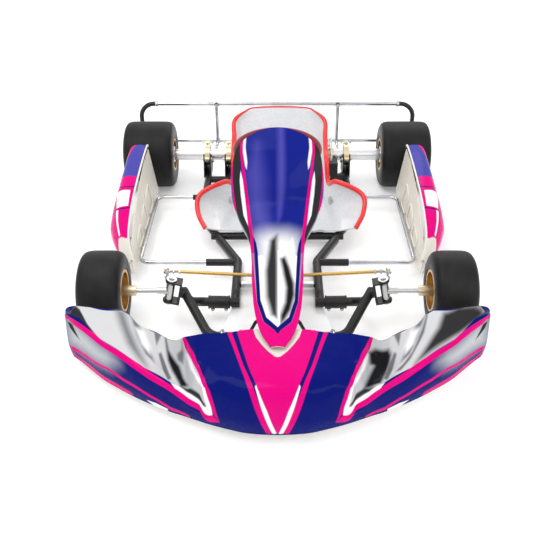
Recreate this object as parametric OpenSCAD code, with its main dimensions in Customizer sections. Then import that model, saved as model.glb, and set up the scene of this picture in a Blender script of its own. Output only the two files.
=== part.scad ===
// Racing kart chassis without its engine: bent-tube frame, steering, pedals, axle, wheels, brake,
// bucket seat, bumpers and bodywork. The kart faces -Y, +X is the driver's left and +Z is up.
// The origin is on the ground, under the middle of the box round the whole kart.

/* [Overall] */
// distance between the front and rear axle lines
wheelbase = 1045; // [1030:5:1060]
// front axle line to the nose's foremost point
front_overhang = 553; // [545:1:560]
// overall width over the rear tyres
rear_width = 1311; // [1300:1:1330]
// overall width over the front tyres
front_width = 1251; // [1240:1:1270]

/* [Wheels] */
// front tyre outer diameter
front_tyre_d = 260; // [256:1:262]
// front tyre width
front_tyre_w = 136; // [128:1:140]
// rear tyre outer diameter
rear_tyre_d = 284; // [278:1:286]
// rear tyre width
rear_tyre_w = 209; // [200:1:212]
// rim barrel diameter, a five inch wheel
rim_d = 127; // [124:1:130]
// rear axle diameter
axle_d = 50; // [50:1:50]
// stub axle diameter
stub_d = 17; // [15:1:17]

/* [Frame] */
// main frame tube diameter
tube_d = 30; // [28:1:32]
// frame tube wall
tube_wall = 2; // [1.5:0.5:3]
// height of the frame tubes' centre line above the ground
rail_z = 65; // [65:1:65]
// half the distance between the two main rails at the front
rail_front_x = 141; // [138:1:144]
// half the distance between the two main rails beside the seat
rail_seat_x = 299; // [296:1:302]
// centre-line radius of the frame tube bends
frame_bend = 55; // [50:1:60]
// side bar diameter
side_bar_d = 16; // [14:1:18]
// rear bumper tube diameter
bumper_d = 20; // [18:1:22]

/* [Steering] */
// angle of the steering column above the horizontal
column_angle = 40; // [40:1:40]
// steering wheel diameter at the middle of its rim
wheel_d = 284; // [280:1:290]
// distance of the tie rod pins below the column's axis
pitman_r = 50; // [50:1:50]
// half the distance between the two tie rod pins
pin_x = 14; // [14:1:14]
// kingpin bolt diameter
kingpin_d = 10; // [10:1:10]

/* [Fits] */
// radial clearance of a running fit
run_gap = 0.05; // [0.02:0.01:0.1]
// gap between a coped tube end and the tube it is welded to
weld_gap = 0.1; // [0.05:0.05:0.3]
// thickness of the moulded bodywork
skin_t = 3; // [3:0.5:4]

/* [Hidden] */
$fn = 48;

// how far a tube's straight lengths reach into its bends, and how much fatter the bends are
lap = 1.5;
bead = 0.2;

// places along the kart
front_y = -362;
rear_y = front_y + wheelbase;
nose_y = front_y - front_overhang;
bumper_y = -nose_y - bumper_d / 2 - bead;
front_z = front_tyre_d / 2;
rear_z = rear_tyre_d / 2;
tube_r = tube_d / 2;

// front corner: kingpin axis, leaning inwards at its top
kp_low = [357, front_y, 81];
kp_high = [336, front_y, 182];
kp_axis = (kp_high - kp_low) / norm(kp_high - kp_low);
kp_mid = (kp_low + kp_high) / 2;
kp_out = [kp_axis[2], 0, -kp_axis[0]];
kp_r = kingpin_d / 2;
yoke_h = 41;
yoke_plate = 6;
yoke_back = 30;
spindle_h = 27.5;
arm_ball = [371, front_y + 116, front_z];
ball_r = 9;

// column: axis through the middle of the steering wheel, sloping down to the front
col_dir = [0, cos(column_angle), sin(column_angle)];
col_down = [0, sin(column_angle), -cos(column_angle)];
wheel_c = [0, 61, 430.45];
col_low = wheel_c - col_dir * 536.25;
col_r = 10;
pitman_c = [0, front_y + 85, 146.8];
pin_ball_r = 7.2;

// frame tube courses
hoop_y = -520;
outrigger_y = -336;
outrigger_pts = [[rail_front_x - 16, outrigger_y, rail_z], [255, outrigger_y, rail_z + 3],
    [282, -385, 102.5]];
outrigger_bend = 30;
sleeve_from = 34;
sleeve_to = 29;
rail_pts = [[rail_front_x, outrigger_y, rail_z], [rail_front_x, -83, rail_z], [274, 196, rail_z],
    [rail_seat_x, 354, rail_z], [rail_seat_x, 606, rail_z], [312, 741, rail_z]];
hoop_pts = [[306.7, -338.3, 115.5], [211, hoop_y, rail_z], [-211, hoop_y, rail_z], [-306.7, -338.3, 115.5]];
middle_pts = [[-209, 741, rail_z], [-209, 420, rail_z], [-294, 330, rail_z]];
seat_cross_y = 100;
rear_cross_y = 590;
cross_r = 14;
cross_bend = 40;
cross_pts = [[-205, 484, rail_z], [172, 484, rail_z], [292, 640, rail_z]];
carrier_x = [-304, -212, 301];
disc_x = 232;
stub_z = rail_z;
side_x = 496;
side_front_y = -88;
side_rear_y = 421;

// floor tray
tray_z = rail_z - tube_r - 2.3;
tray_bolts_xy = [[-118, -470], [118, -470], [-118, -150], [118, -150], [-190, 60], [190, 60]];

// pods
pod_liner_x = 504;
pod_front_y = -136;
pod_rear_y = 515;

function unit(v) = v / norm(v);
function any_normal(d) = abs(d[2]) < 0.9 ? unit(cross([0, 0, 1], d)) : unit(cross([1, 0, 0], d));
function flip(pts) = [for (p = pts) [-p[0], p[1], p[2]]];
function backward(p) = [for (i = [len(p) - 1 : -1 : 0]) p[i]];

// a frame of axes at o: X along ex, Z along ez
module place(o, ex, ez) {
    ey = cross(ez, ex);
    multmatrix([[ex[0], ey[0], ez[0], o[0]], [ex[1], ey[1], ez[1], o[1]], [ex[2], ey[2], ez[2], o[2]],
        [0, 0, 0, 1]]) children();
}

module along(a, b) {
    place(a, any_normal(unit(b - a)), unit(b - a)) children();
}

module bar(a, b, r, bore = 0) {
    along(a, b) difference() {
        cylinder(r = r, h = norm(b - a));
        if (bore > 0) translate([0, 0, -1]) cylinder(r = bore, h = norm(b - a) + 2);
    }
}

module ring(r, bore, h) {
    difference() {
        cylinder(r = r, h = h);
        translate([0, 0, -1]) cylinder(r = bore, h = h + 2);
    }
}

// bent tube: straight lengths, and bends a hair fatter that lap over them
function turn(p, i) = i == 0 || i == len(p) - 1 ? 0
    : acos(max(-1, min(1, unit(p[i] - p[i - 1]) * unit(p[i + 1] - p[i]))));
function setback(p, i, bend) = turn(p, i) < 0.5 ? 0 : bend * tan(turn(p, i) / 2);

module section(r, bore) {
    difference() {
        circle(r);
        if (bore > 0) circle(bore);
    }
}

module tube_path(p, r, bend, bore = 0) {
    for (i = [0 : len(p) - 2]) {
        d = unit(p[i + 1] - p[i]);
        lap_a = setback(p, i, bend) > 0 ? lap : 0;
        lap_b = setback(p, i + 1, bend) > 0 ? lap : 0;
        a = p[i] + d * (setback(p, i, bend) - lap_a);
        b = p[i + 1] - d * (setback(p, i + 1, bend) - lap_b);
        place(a, any_normal(d), d) linear_extrude(norm(b - a)) section(r, bore);
    }
    for (i = [1 : len(p) - 2]) if (turn(p, i) >= 0.5) {
        d0 = unit(p[i] - p[i - 1]);
        d1 = unit(p[i + 1] - p[i]);
        n = unit(cross(d0, d1));
        out = cross(d0, n);
        start = p[i] - d0 * setback(p, i, bend);
        place(start - out * bend, out, n) rotate_extrude(angle = turn(p, i))
            translate([bend, 0]) section(r + bead, bore > 0 ? bore + bead : 0);
    }
}

// plug that closes a hollow tube's end at p, d pointing into the tube
module plug(p, d, r) {
    along(p, p + d * 4) cylinder(r = r - tube_wall / 2, h = 4);
}

// smooth surface through a coarse net of points, closed behind by its own thickness
function spline(a, b, c, d, t) = 0.5 * (2 * b + (c - a) * t + (2 * a - 5 * b + 4 * c - d) * t * t
    + (3 * b - a - 3 * c + d) * t * t * t);
function curve(p, n) = [for (i = [0 : len(p) - 2]) for (k = [0 : n - 1])
    spline(p[max(i - 1, 0)], p[i], p[i + 1], p[min(i + 2, len(p) - 1)], k / n), p[len(p) - 1]];
function columns(g) = [for (j = [0 : len(g[0]) - 1]) [for (row = g) row[j]]];
function smooth(g, nu, nv) = columns([for (c = columns([for (row = g) curve(row, nv)])) curve(c, nu)]);
function grid_normal(g, i, j) = unit(cross(
    g[min(i + 1, len(g) - 1)][j] - g[max(i - 1, 0)][j],
    g[i][min(j + 1, len(g[0]) - 1)] - g[i][max(j - 1, 0)]));
function behind(g, t) = [for (i = [0 : len(g) - 1]) [for (j = [0 : len(g[0]) - 1])
    g[i][j] + grid_normal(g, i, j) * t]];

module sheet(g, t) {
    back = behind(g, t);
    nu = len(g);
    nv = len(g[0]);
    n = nu * nv;
    points = concat([for (row = g) each row], [for (row = back) each row]);
    front_faces = [for (i = [0 : nu - 2]) for (j = [0 : nv - 2]) each
        [[i * nv + j, i * nv + j + 1, (i + 1) * nv + j + 1],
        [i * nv + j, (i + 1) * nv + j + 1, (i + 1) * nv + j]]];
    back_faces = [for (f = front_faces) [f[2] + n, f[1] + n, f[0] + n]];
    rim = concat([for (i = [0 : nu - 2]) i * nv], [for (j = [0 : nv - 2]) (nu - 1) * nv + j],
        [for (i = [nu - 1 : -1 : 1]) i * nv + nv - 1], [for (j = [nv - 1 : -1 : 1]) j]);
    edge_faces = [for (k = [0 : len(rim) - 1]) each
        [[rim[k], rim[(k + 1) % len(rim)], rim[(k + 1) % len(rim)] + n],
        [rim[k], rim[(k + 1) % len(rim)] + n, rim[k] + n]]];
    faces = concat(front_faces, back_faces, edge_faces);
    polyhedron(points, t < 0 ? faces : [for (f = faces) [f[2], f[1], f[0]]]);
}

// ---------------------------------------------------------------- frame tubes
module frame_tube(pts) {
    color([0.07, 0.07, 0.08]) {
        tube_path(pts, tube_r, frame_bend, tube_r - tube_wall);
        plug(pts[0], unit(pts[1] - pts[0]), tube_r);
        plug(pts[len(pts) - 1], unit(pts[len(pts) - 2] - pts[len(pts) - 1]), tube_r);
    }
}

// the tubes that others are coped against, grown by the weld gap
module rail_cut(pts) {
    tube_path(pts, tube_r + weld_gap, frame_bend);
}

module hoop_cut() {
    rail_cut(hoop_pts);
}

module outrigger_cut() {
    for (p = [outrigger_pts, flip(outrigger_pts)]) bar(p[0], p[1], tube_r + weld_gap);
}

module rail_left() {
    difference() {
        frame_tube(rail_pts);
        outrigger_cut();
    }
}

module rail_right() {
    difference() {
        frame_tube(flip(rail_pts));
        outrigger_cut();
    }
}

module rail_middle() {
    difference() {
        frame_tube(middle_pts);
        rail_cut(flip(rail_pts));
    }
}

module front_hoop() {
    difference() {
        frame_tube(hoop_pts);
        for (s = [-1, 1]) at_kingpin(s)
            translate([-yoke_back - yoke_plate - weld_gap, -40, -60]) cube([80, 80, 120]);
    }
}

// outriggers from the rails' front ends to the front hoop's arms, each in a clamped sleeve
module front_bars() {
    color([0.07, 0.07, 0.08]) for (p = [outrigger_pts, flip(outrigger_pts)]) difference() {
        d = unit(p[1] - p[0]);
        union() {
            tube_path(p, tube_r, outrigger_bend, tube_r - tube_wall);
            bar(p[0] + d * sleeve_from, p[1] - d * sleeve_to, tube_r + 6, tube_r - 1);
            bar(p[0], p[0] + d * 4, tube_r - 1);
        }
        hoop_cut();
    }
}

module seat_cross() {
    color([0.07, 0.07, 0.08]) difference() {
        bar([-250, seat_cross_y, rail_z], [250, seat_cross_y, rail_z], cross_r, cross_r - tube_wall);
        rail_cut(rail_pts);
        rail_cut(flip(rail_pts));
    }
}

module rear_cross() {
    color([0.07, 0.07, 0.08]) difference() {
        union() {
            bar([-295, rear_cross_y, rail_z], [-212, rear_cross_y, rail_z], cross_r, cross_r - tube_wall);
            tube_path(cross_pts, cross_r, cross_bend, cross_r - tube_wall);
        }
        rail_cut(rail_pts);
        rail_cut(flip(rail_pts));
        rail_cut(middle_pts);
    }
}

// foot bearing of the column, on a plate bolted to the floor tray
module column_foot() {
    color([0.07, 0.07, 0.08]) {
        difference() {
            union() {
                translate([-42, col_low[1] - 16, tray_z + 2.1]) cube([84, 44, 4]);
                translate([-12, col_low[1] - 10, tray_z + 5]) cube([24, 30, 30]);
            }
            place(col_low, [1, 0, 0], col_dir) translate([0, 0, -5.9]) cylinder(r = 15.9, h = 60);
        }
        place(col_low, [1, 0, 0], col_dir) translate([0, 0, -6]) difference() {
            cylinder(r = 16, h = 18);
            translate([0, 0, 5]) cylinder(r = col_r + run_gap, h = 20);
        }
    }
}

// arch over the rails that carries the column's upper bearing
stay_foot = [76, -233, rail_z + 6];
stay_top = [60, -178, 200];
stay_hub = wheel_c - col_dir * 306.25;

module column_stay() {
    color([0.07, 0.07, 0.08]) {
        tube_path([stay_foot, stay_top, [-stay_top[0], stay_top[1], stay_top[2]],
            [-stay_foot[0], stay_foot[1], stay_foot[2]]], 8, 30);
        difference() {
            union() {
                place(stay_hub, [1, 0, 0], col_dir) translate([0, 0, -14]) cylinder(r = 17, h = 28);
                bar([0, stay_top[1], stay_top[2] - 4], [0, stay_hub[1], stay_hub[2]], 9);
            }
            place(stay_hub, [1, 0, 0], col_dir) translate([0, 0, -40]) cylinder(r = col_r + run_gap, h = 80);
        }
    }
    color([0.75, 0.75, 0.77]) for (s = [-1, 1]) translate([s * 96, stay_foot[1], rail_z]) difference() {
        translate([-32, -9, -4]) cube([64, 18, 14]);
        translate([s * (rail_front_x - 96), 0, 0]) rotate([90, 0, 0])
            cylinder(r = tube_r + weld_gap, h = 40, center = true);
    }
}

// ---------------------------------------------------------------- front corners
module at_kingpin(s) {
    if (s > 0) place(kp_mid, kp_out, kp_axis) children();
    else mirror([1, 0, 0]) place(kp_mid, kp_out, kp_axis) children();
}

module yoke() {
    difference() {
        union() {
            for (z = [-yoke_h, yoke_h - yoke_plate]) translate([0, 0, z]) {
                cylinder(r = 19, h = yoke_plate);
                translate([-yoke_back, -19, 0]) cube([yoke_back, 38, yoke_plate]);
            }
            translate([-yoke_back - yoke_plate, -19, -yoke_h]) cube([yoke_plate + 1, 38, 2 * yoke_h]);
        }
        translate([0, 0, -60]) cylinder(r = kp_r + run_gap, h = 120);
    }
}

module yokes() {
    color([0.07, 0.07, 0.08]) for (s = [-1, 1]) {
        at_kingpin(s) yoke();
        difference() {
            bar([s * 322, -354, 122], [s * 301, -351, 112], tube_r + 3);
            at_kingpin(s) translate([-yoke_back - yoke_plate + 0.5, -40, -60]) cube([80, 80, 120]);
            hoop_cut();
        }
    }
}

module kingpins() {
    color([0.8, 0.8, 0.82]) for (s = [-1, 1]) at_kingpin(s) {
        translate([0, 0, -yoke_h - 14]) cylinder(r = kp_r, h = 2 * yoke_h + 24);
        translate([0, 0, yoke_h]) cylinder(r = 8.5, h = 8, $fn = 6);
        translate([0, 0, -yoke_h - 8]) cylinder(r = 8.5, h = 8, $fn = 6);
        for (z = [spindle_h + 0.5, -yoke_h + yoke_plate]) translate([0, 0, z])
            cylinder(r = 12, h = yoke_h - yoke_plate - spindle_h - 0.5);
    }
}

arm_z = front_z - 16;
wheel_in_x = front_width / 2 - front_tyre_w;

module spindle() {
    place(kp_mid, kp_out, kp_axis) translate([0, 0, -spindle_h]) cylinder(r = 14, h = 2 * spindle_h);
    translate([kp_mid[0], front_y, front_z]) rotate([0, 90, 0]) {
        cylinder(r = 12, h = 40);
        cylinder(r = stub_d / 2, h = 220);
    }
    translate([kp_mid[0] + 206, front_y, front_z]) rotate([0, 90, 0]) cylinder(r = 13, h = 12, $fn = 6);
    translate([0, 0, arm_z - 8]) linear_extrude(8) polygon([[kp_mid[0] - 8, front_y],
        [kp_mid[0] + 10, front_y], [arm_ball[0] + 9, arm_ball[1]], [arm_ball[0] - 9, arm_ball[1]]]);
    translate([arm_ball[0], arm_ball[1], arm_z - 8]) cylinder(r = 11, h = 8);
    translate([arm_ball[0], arm_ball[1], arm_z - 14]) cylinder(r = 4, h = 44);
    translate([arm_ball[0], arm_ball[1], arm_z - 15]) cylinder(r = 7, h = 7, $fn = 6);
    translate(arm_ball) difference() {
        sphere(r = ball_r);
        for (z = [8, -28]) translate([-20, -20, z]) cube([40, 40, 20]);
    }
    translate([arm_ball[0], arm_ball[1], front_z + 7]) cylinder(r = 7, h = 7, $fn = 6);
}

module spindle_bored() {
    difference() {
        spindle();
        place(kp_mid, kp_out, kp_axis) translate([0, 0, -spindle_h - 5])
            cylinder(r = kp_r + run_gap, h = 2 * spindle_h + 10);
    }
}

module spindle_left() {
    color([0.8, 0.8, 0.82]) spindle_bored();
}

module spindle_right() {
    color([0.8, 0.8, 0.82]) mirror([1, 0, 0]) spindle_bored();
}

// tie rod: gold tube between two rod ends; the inner eye is loose on the pitman's ball
pin_c = pitman_c + col_down * pitman_r + [pin_x, 0, 0];
rod_dir = unit(pin_c - arm_ball);

module rod_eye(z_dir) {
    place([0, 0, 0], unit(cross(z_dir, cross(rod_dir, z_dir))), z_dir) difference() {
        translate([0, 0, -4]) cylinder(r = 12.5, h = 8);
        sphere(r = ball_r + run_gap);
    }
}

module tie_rod() {
    color([0.83, 0.63, 0.28]) bar(arm_ball + rod_dir * 46, pin_c - rod_dir * 34, 6);
    color([0.8, 0.8, 0.82]) {
        translate(arm_ball) rod_eye([0, 0, 1]);
        bar(arm_ball + rod_dir * 11.5, arm_ball + rod_dir * 48, 4.5);
        translate(pin_c) rod_eye(col_dir);
        bar(pin_c - rod_dir * 11.5, pin_c - rod_dir * 36, 4.5);
    }
}

module tie_rod_left() {
    tie_rod();
}

module tie_rod_right() {
    mirror([1, 0, 0]) tie_rod();
}

// ---------------------------------------------------------------- steering
module column() {
    color([0.8, 0.8, 0.82]) bar(col_low, wheel_c - col_dir * 26, col_r);
}

module steering_rim() {
    color([0.35, 0.05, 0.07]) place(wheel_c, [1, 0, 0], col_dir) rotate_extrude()
        translate([wheel_d / 2, 0]) circle(13);
}

// flat spoked plate with the boss bolt holes, a boss, and three arms rising to the rim
arm_from = wheel_d / 2 - 58;

module spider_plate() {
    difference() {
        union() {
            circle(46);
            for (a = [90, 210, 330]) rotate(a) translate([30, -13]) square([arm_from - 27, 26]);
        }
        for (a = [30 : 60 : 330]) rotate(a) translate([34, 0]) circle(3);
    }
}

module wheel_spider() {
    color([0.12, 0.12, 0.13]) place(wheel_c, [1, 0, 0], col_dir) {
        translate([0, 0, -26]) linear_extrude(5) spider_plate();
        translate([0, 0, -24]) cylinder(r = 24, h = 10);
        for (a = [90, 210, 330]) rotate([0, 0, a]) translate([arm_from, 0, -23.5]) rotate([0, 66, 0])
            translate([-2.2, -12.5, 0]) cube([4.4, 25, 48.5]);
    }
}

module pitman() {
    color([0.07, 0.07, 0.08]) place(pitman_c, [1, 0, 0], col_dir) {
        difference() {
            union() {
                translate([0, 0, -22]) cylinder(r = 16, h = 14);
                translate([0, 0, -16]) linear_extrude(5) polygon([[-14, 0], [14, 0],
                    [pin_x + 9, -pitman_r - 8], [-pin_x - 9, -pitman_r - 8]]);
            }
            translate([0, 0, -30]) cylinder(r = col_r, h = 40);
        }
    }
    color([0.8, 0.8, 0.82]) for (s = [-1, 1]) place(pitman_c + col_down * pitman_r + [s * pin_x, 0, 0],
        [1, 0, 0], col_dir) {
        translate([0, 0, -20]) cylinder(r = 4, h = 30);
        translate([0, 0, -20]) cylinder(r = 6.5, h = 4, $fn = 6);
        sphere(r = pin_ball_r);
    }
}

// ---------------------------------------------------------------- pedals
pedal_x = 42;
pedal_y = -486;
pedal_z = 92;
pedal_h = 92;

module pedal_brackets() {
    color([0.07, 0.07, 0.08]) for (s = [-1, 1]) for (e = [-1, 1]) difference() {
        translate([s * pedal_x + e * 13 - 2, hoop_y + 8, rail_z])
            cube([4, pedal_y - hoop_y + 2, pedal_z - rail_z + 8]);
        hoop_cut();
    }
    color([0.8, 0.8, 0.82]) for (s = [-1, 1]) translate([s * pedal_x - 20, pedal_y, pedal_z])
        rotate([0, 90, 0]) cylinder(r = 4, h = 40);
}

module pedal(s) {
    difference() {
        union() {
            translate([s * pedal_x - 10, pedal_y, pedal_z]) rotate([0, 90, 0]) cylinder(r = 9, h = 20);
            bar([s * pedal_x, pedal_y, pedal_z + 5], [s * pedal_x, pedal_y - 6, pedal_z + pedal_h], 5);
        }
        translate([s * pedal_x - 20, pedal_y, pedal_z]) rotate([0, 90, 0]) cylinder(r = 4 + run_gap, h = 40);
    }
    translate([s * pedal_x - 30, pedal_y - 6, pedal_z + pedal_h]) rotate([0, 90, 0]) cylinder(r = 8, h = 60);
}

module brake_pedal() {
    color([0.8, 0.8, 0.82]) pedal(1);
}

module throttle_pedal() {
    color([0.8, 0.8, 0.82]) pedal(-1);
}

// ---------------------------------------------------------------- front wheels
module along_x(x, y, z) {
    translate([x, y, z]) rotate([0, 90, 0]) children();
}

// rim and tyre profiles are drawn as [radius, distance from the inner face]
module rim_profile(r, w, web) {
    lip = 6;
    t = 3;
    well = r - 9;
    polygon([[r - t, 0], [r + lip, 0], [r + lip, t], [r, t + 2], [r, 22], [well, 32], [well, w - 32],
        [r, w - 22], [r, w - t - 2], [r + lip, w - t], [r + lip, w], [r - t, w], [r - t, w - 23],
        [well - t, w - 33], [well - t, web + 6], [24, web + 6], [24, web], [well - t, web],
        [well - t, 33], [r - t, 23]]);
}

module tyre_profile(r, w, bead_r) {
    t = 8;
    half = [[bead_r, 14], [bead_r, 7.4], [bead_r + 6.4, 5.4], [bead_r + 7.6, 2], [bead_r + 11, 0.4],
        [bead_r + 24, -1], [r - 30, 0], [r - 12, 6], [r - 4, 15], [r - 1, 30]];
    inner = [[r - t, 26], [r - 22, t + 2], [bead_r + 12, t + 2]];
    polygon(concat(half, [[r, w / 2]], backward([for (p = half) [p[0], w - p[1]]]),
        backward([for (p = inner) [p[0], w - p[1]]]), inner));
}

hub_in_x = 455;
rim_inset = 2;
front_web = 34;
rear_web = 70.2;

module front_hub() {
    along_x(hub_in_x, front_y, front_z) ring(17, stub_d / 2 + run_gap, 92);
    along_x(wheel_in_x + rim_inset + front_web - 8, front_y, front_z) {
        ring(38, stub_d / 2 + run_gap, 7.9);
        for (a = [30 : 120 : 270]) rotate([0, 0, a]) translate([32, 0, 0]) {
            cylinder(r = 3.9, h = 22);
            translate([0, 0, 14.2]) cylinder(r = 7, h = 6, $fn = 6);
        }
    }
}

module front_rim() {
    along_x(wheel_in_x + rim_inset, front_y, front_z) difference() {
        rotate_extrude() rim_profile(rim_d / 2, front_tyre_w - 2 * rim_inset, front_web);
        for (a = [30 : 120 : 270]) rotate([0, 0, a]) translate([32, 0, 12]) cylinder(r = 4, h = 40);
    }
}

module hub_front_left() {
    color([0.86, 0.76, 0.55]) front_hub();
}

module hub_front_right() {
    color([0.86, 0.76, 0.55]) mirror([1, 0, 0]) front_hub();
}

module rim_front_left() {
    color([0.72, 0.5, 0.25]) front_rim();
}

module rim_front_right() {
    color([0.72, 0.5, 0.25]) mirror([1, 0, 0]) front_rim();
}

module front_tyre() {
    color([0.05, 0.05, 0.05]) along_x(wheel_in_x, front_y, front_z) rotate_extrude()
        tyre_profile(front_tyre_d / 2, front_tyre_w, rim_d / 2 + 0.1);
}

module tyre_front_left() {
    front_tyre();
}

module tyre_front_right() {
    mirror([1, 0, 0]) front_tyre();
}

// ---------------------------------------------------------------- rear axle
rear_in_x = rear_width / 2 - rear_tyre_w;
axle_half = 530;
rear_hub_r = 35;

module rear_axle() {
    color([0.8, 0.8, 0.82]) along_x(-axle_half, rear_y, rear_z) difference() {
        ring(axle_d / 2, axle_d / 2 - 4, 2 * axle_half);
        for (x = [60, 2 * axle_half - 110]) translate([axle_d / 2 - 3, -4, x]) cube([6, 8, 50]);
    }
}

module rear_hub() {
    along_x(rear_in_x + 4, rear_y, rear_z) difference() {
        union() {
            cylinder(r = rear_hub_r, h = 84);
            translate([0, 0, 60]) cylinder(r = 46, h = 8);
        }
        translate([0, 0, -1]) cylinder(r = axle_d / 2, h = 90);
        translate([26, -1, -1]) cube([20, 2, 90]);
    }
}

module rear_hubs() {
    color([0.8, 0.8, 0.82]) for (s = [0, 1]) mirror([s, 0, 0]) rear_hub();
}

module rear_rims() {
    color([0.72, 0.5, 0.25]) for (s = [0, 1]) mirror([s, 0, 0])
        along_x(rear_in_x + rim_inset, rear_y, rear_z) difference() {
            rotate_extrude() rim_profile(rim_d / 2, rear_tyre_w - 2 * rim_inset, rear_web);
            cylinder(r = rear_hub_r + 0.1, h = 120);
        }
}

module rear_tyre() {
    color([0.05, 0.05, 0.05]) along_x(rear_in_x, rear_y, rear_z) rotate_extrude()
        tyre_profile(rear_tyre_d / 2, rear_tyre_w, rim_d / 2 + 0.1);
}

module tyre_rear_left() {
    rear_tyre();
}

module tyre_rear_right() {
    mirror([1, 0, 0]) rear_tyre();
}

disc_r = 103;

module brake_disc() {
    color([0.85, 0.8, 0.68]) along_x(disc_x, rear_y, rear_z) difference() {
        translate([0, 0, -3]) cylinder(r = disc_r, h = 6);
        translate([0, 0, -4]) cylinder(r = 46.1, h = 8);
        for (a = [0 : 20 : 340]) rotate([0, 0, a]) {
            translate([62, 0, -4]) cylinder(r = 4, h = 8);
            translate([78, 12, -4]) cylinder(r = 4, h = 8);
            translate([93, 0, -4]) cylinder(r = 3, h = 8);
        }
    }
}

module disc_hub() {
    color([0.86, 0.76, 0.55]) along_x(disc_x, rear_y, rear_z) difference() {
        union() {
            translate([0, 0, -14]) cylinder(r = 34, h = 28);
            translate([0, 0, -3]) cylinder(r = 46, h = 6);
        }
        translate([0, 0, -20]) cylinder(r = axle_d / 2, h = 40);
    }
}

// ---------------------------------------------------------------- axle carriers
module carriers() {
    color([0.86, 0.76, 0.55]) for (x = carrier_x) along_x(x, rear_y, rear_z) difference() {
        union() {
            translate([0, 0, -11]) cylinder(r = 46, h = 22);
            for (a = [30, 150, 270]) rotate([0, 0, a]) translate([50, 0, -10]) cylinder(r = 9, h = 20);
        }
        translate([0, 0, -20]) cylinder(r = 40, h = 40);
        for (a = [30, 150, 270]) rotate([0, 0, a]) translate([52, 0, -20]) cylinder(r = 4, h = 40);
    }
}

module carrier_bearings() {
    color([0.7, 0.7, 0.72]) for (x = carrier_x) along_x(x, rear_y, rear_z) translate([0, 0, -9])
        ring(39.95, axle_d / 2 + run_gap, 18);
}

// welded plates that hold each carrier above its rail; the small hole takes a stay's bolt
stay_hole = [-46, 93];

module carrier_stands() {
    color([0.07, 0.07, 0.08]) for (x = carrier_x) for (side = [-1, 1]) difference() {
        translate([x + side * 14 - 2, 0, 0]) rotate([90, 0, 90]) linear_extrude(4) polygon([
            [rear_y - 70, rail_z - 4], [rear_y + 40, rail_z - 4], [rear_y + 44, rear_z - 40],
            [rear_y + 30, rear_z + 4], [rear_y - 48, rear_z + 20], [rear_y - 56, rear_z - 6]]);
        along_x(x - 40, rear_y, rear_z) cylinder(r = 40.5, h = 80);
        rail_cut(rail_pts);
        rail_cut(flip(rail_pts));
        rail_cut(middle_pts);
        tube_path(cross_pts, cross_r + weld_gap, cross_bend);
        along_x(x - 40, rear_y + stay_hole[0], stay_hole[1]) cylinder(r = 4.25, h = 80);
    }
}

module caliper() {
    color([0.1, 0.1, 0.11]) difference() {
        translate([disc_x - 26, rear_y - 128, rear_z - 44]) cube([52, 56, 58]);
        along_x(disc_x, rear_y, rear_z) translate([0, 0, -5]) cylinder(r = disc_r + 4, h = 10);
        along_x(disc_x - 40, rear_y, rear_z) cylinder(r = 60, h = 80);
    }
    color([0.1, 0.1, 0.11]) difference() {
        translate([disc_x - 4, rear_y - 122, rail_z + 8]) cube([60, 20, 26]);
        rail_cut(rail_pts);
        tube_path(cross_pts, cross_r + weld_gap, cross_bend);
        along_x(disc_x, rear_y, rear_z) translate([0, 0, -5]) cylinder(r = disc_r + 4, h = 10);
    }
}

// ---------------------------------------------------------------- side bars and floor
side_r = side_bar_d / 2;

module side_stubs() {
    color([0.07, 0.07, 0.08]) for (s = [-1, 1]) difference() {
        union() {
            bar([s * 142, side_front_y, stub_z], [s * 255, side_front_y, stub_z], 13);
            bar([s * 300, side_rear_y, stub_z], [s * 350, side_rear_y, stub_z], 11);
        }
        rail_cut(rail_pts);
        rail_cut(flip(rail_pts));
        bar([s * 214, side_front_y, stub_z], [s * 260, side_front_y, stub_z], side_r + 0.05);
        bar([s * 323, side_rear_y, stub_z], [s * 360, side_rear_y, stub_z], side_r + 0.05);
    }
}

side_pts = [[216, side_front_y, stub_z], [side_x - 4, side_front_y, stub_z], [side_x, side_rear_y, stub_z],
    [325, side_rear_y, stub_z]];

module side_bar_left() {
    color([0.85, 0.85, 0.87]) tube_path(side_pts, side_r, 32);
}

module side_bar_right() {
    color([0.85, 0.85, 0.87]) tube_path(flip(side_pts), side_r, 32);
}

module floor_tray() {
    color([0.92, 0.92, 0.93]) difference() {
        translate([0, 0, tray_z]) linear_extrude(2) polygon([[-182, -505], [182, -505], [152, -352],
            [150, -95], [238, 86], [-238, 86], [-150, -95], [-152, -352]]);
        for (p = tray_bolts_xy) translate([p[0], p[1], tray_z - 1]) cylinder(r = 3.3, h = 4);
    }
}

module tray_bolts() {
    color([0.8, 0.8, 0.82]) for (p = tray_bolts_xy) translate([p[0], p[1], tray_z]) {
        translate([0, 0, -3.4]) cylinder(r = 3, h = 12);
        translate([0, 0, 2]) cylinder(r = 7, h = 3);
        translate([0, 0, -3.4]) cylinder(r = 6, h = 3.4);
    }
}

// ---------------------------------------------------------------- bumpers
bumper_top_z = 291;
bumper_low_z = 114;
bumper_x = 620;
bumper_r = bumper_d / 2;
sleeve_x = 540;
strut_x = 274;

module bumper_bars() {
    color([0.85, 0.85, 0.87]) for (z = [bumper_low_z, bumper_top_z])
        bar([-sleeve_x - 20, bumper_y, z], [sleeve_x + 20, bumper_y, z], bumper_r - 1, bumper_r - 3);
}

module bumper_ends() {
    color([0.05, 0.05, 0.05]) for (s = [-1, 1]) tube_path([[s * sleeve_x, bumper_y, bumper_top_z],
        [s * bumper_x, bumper_y, bumper_top_z], [s * bumper_x, bumper_y, bumper_low_z],
        [s * sleeve_x, bumper_y, bumper_low_z]], bumper_r, 62, bumper_r - 0.95);
}

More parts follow.
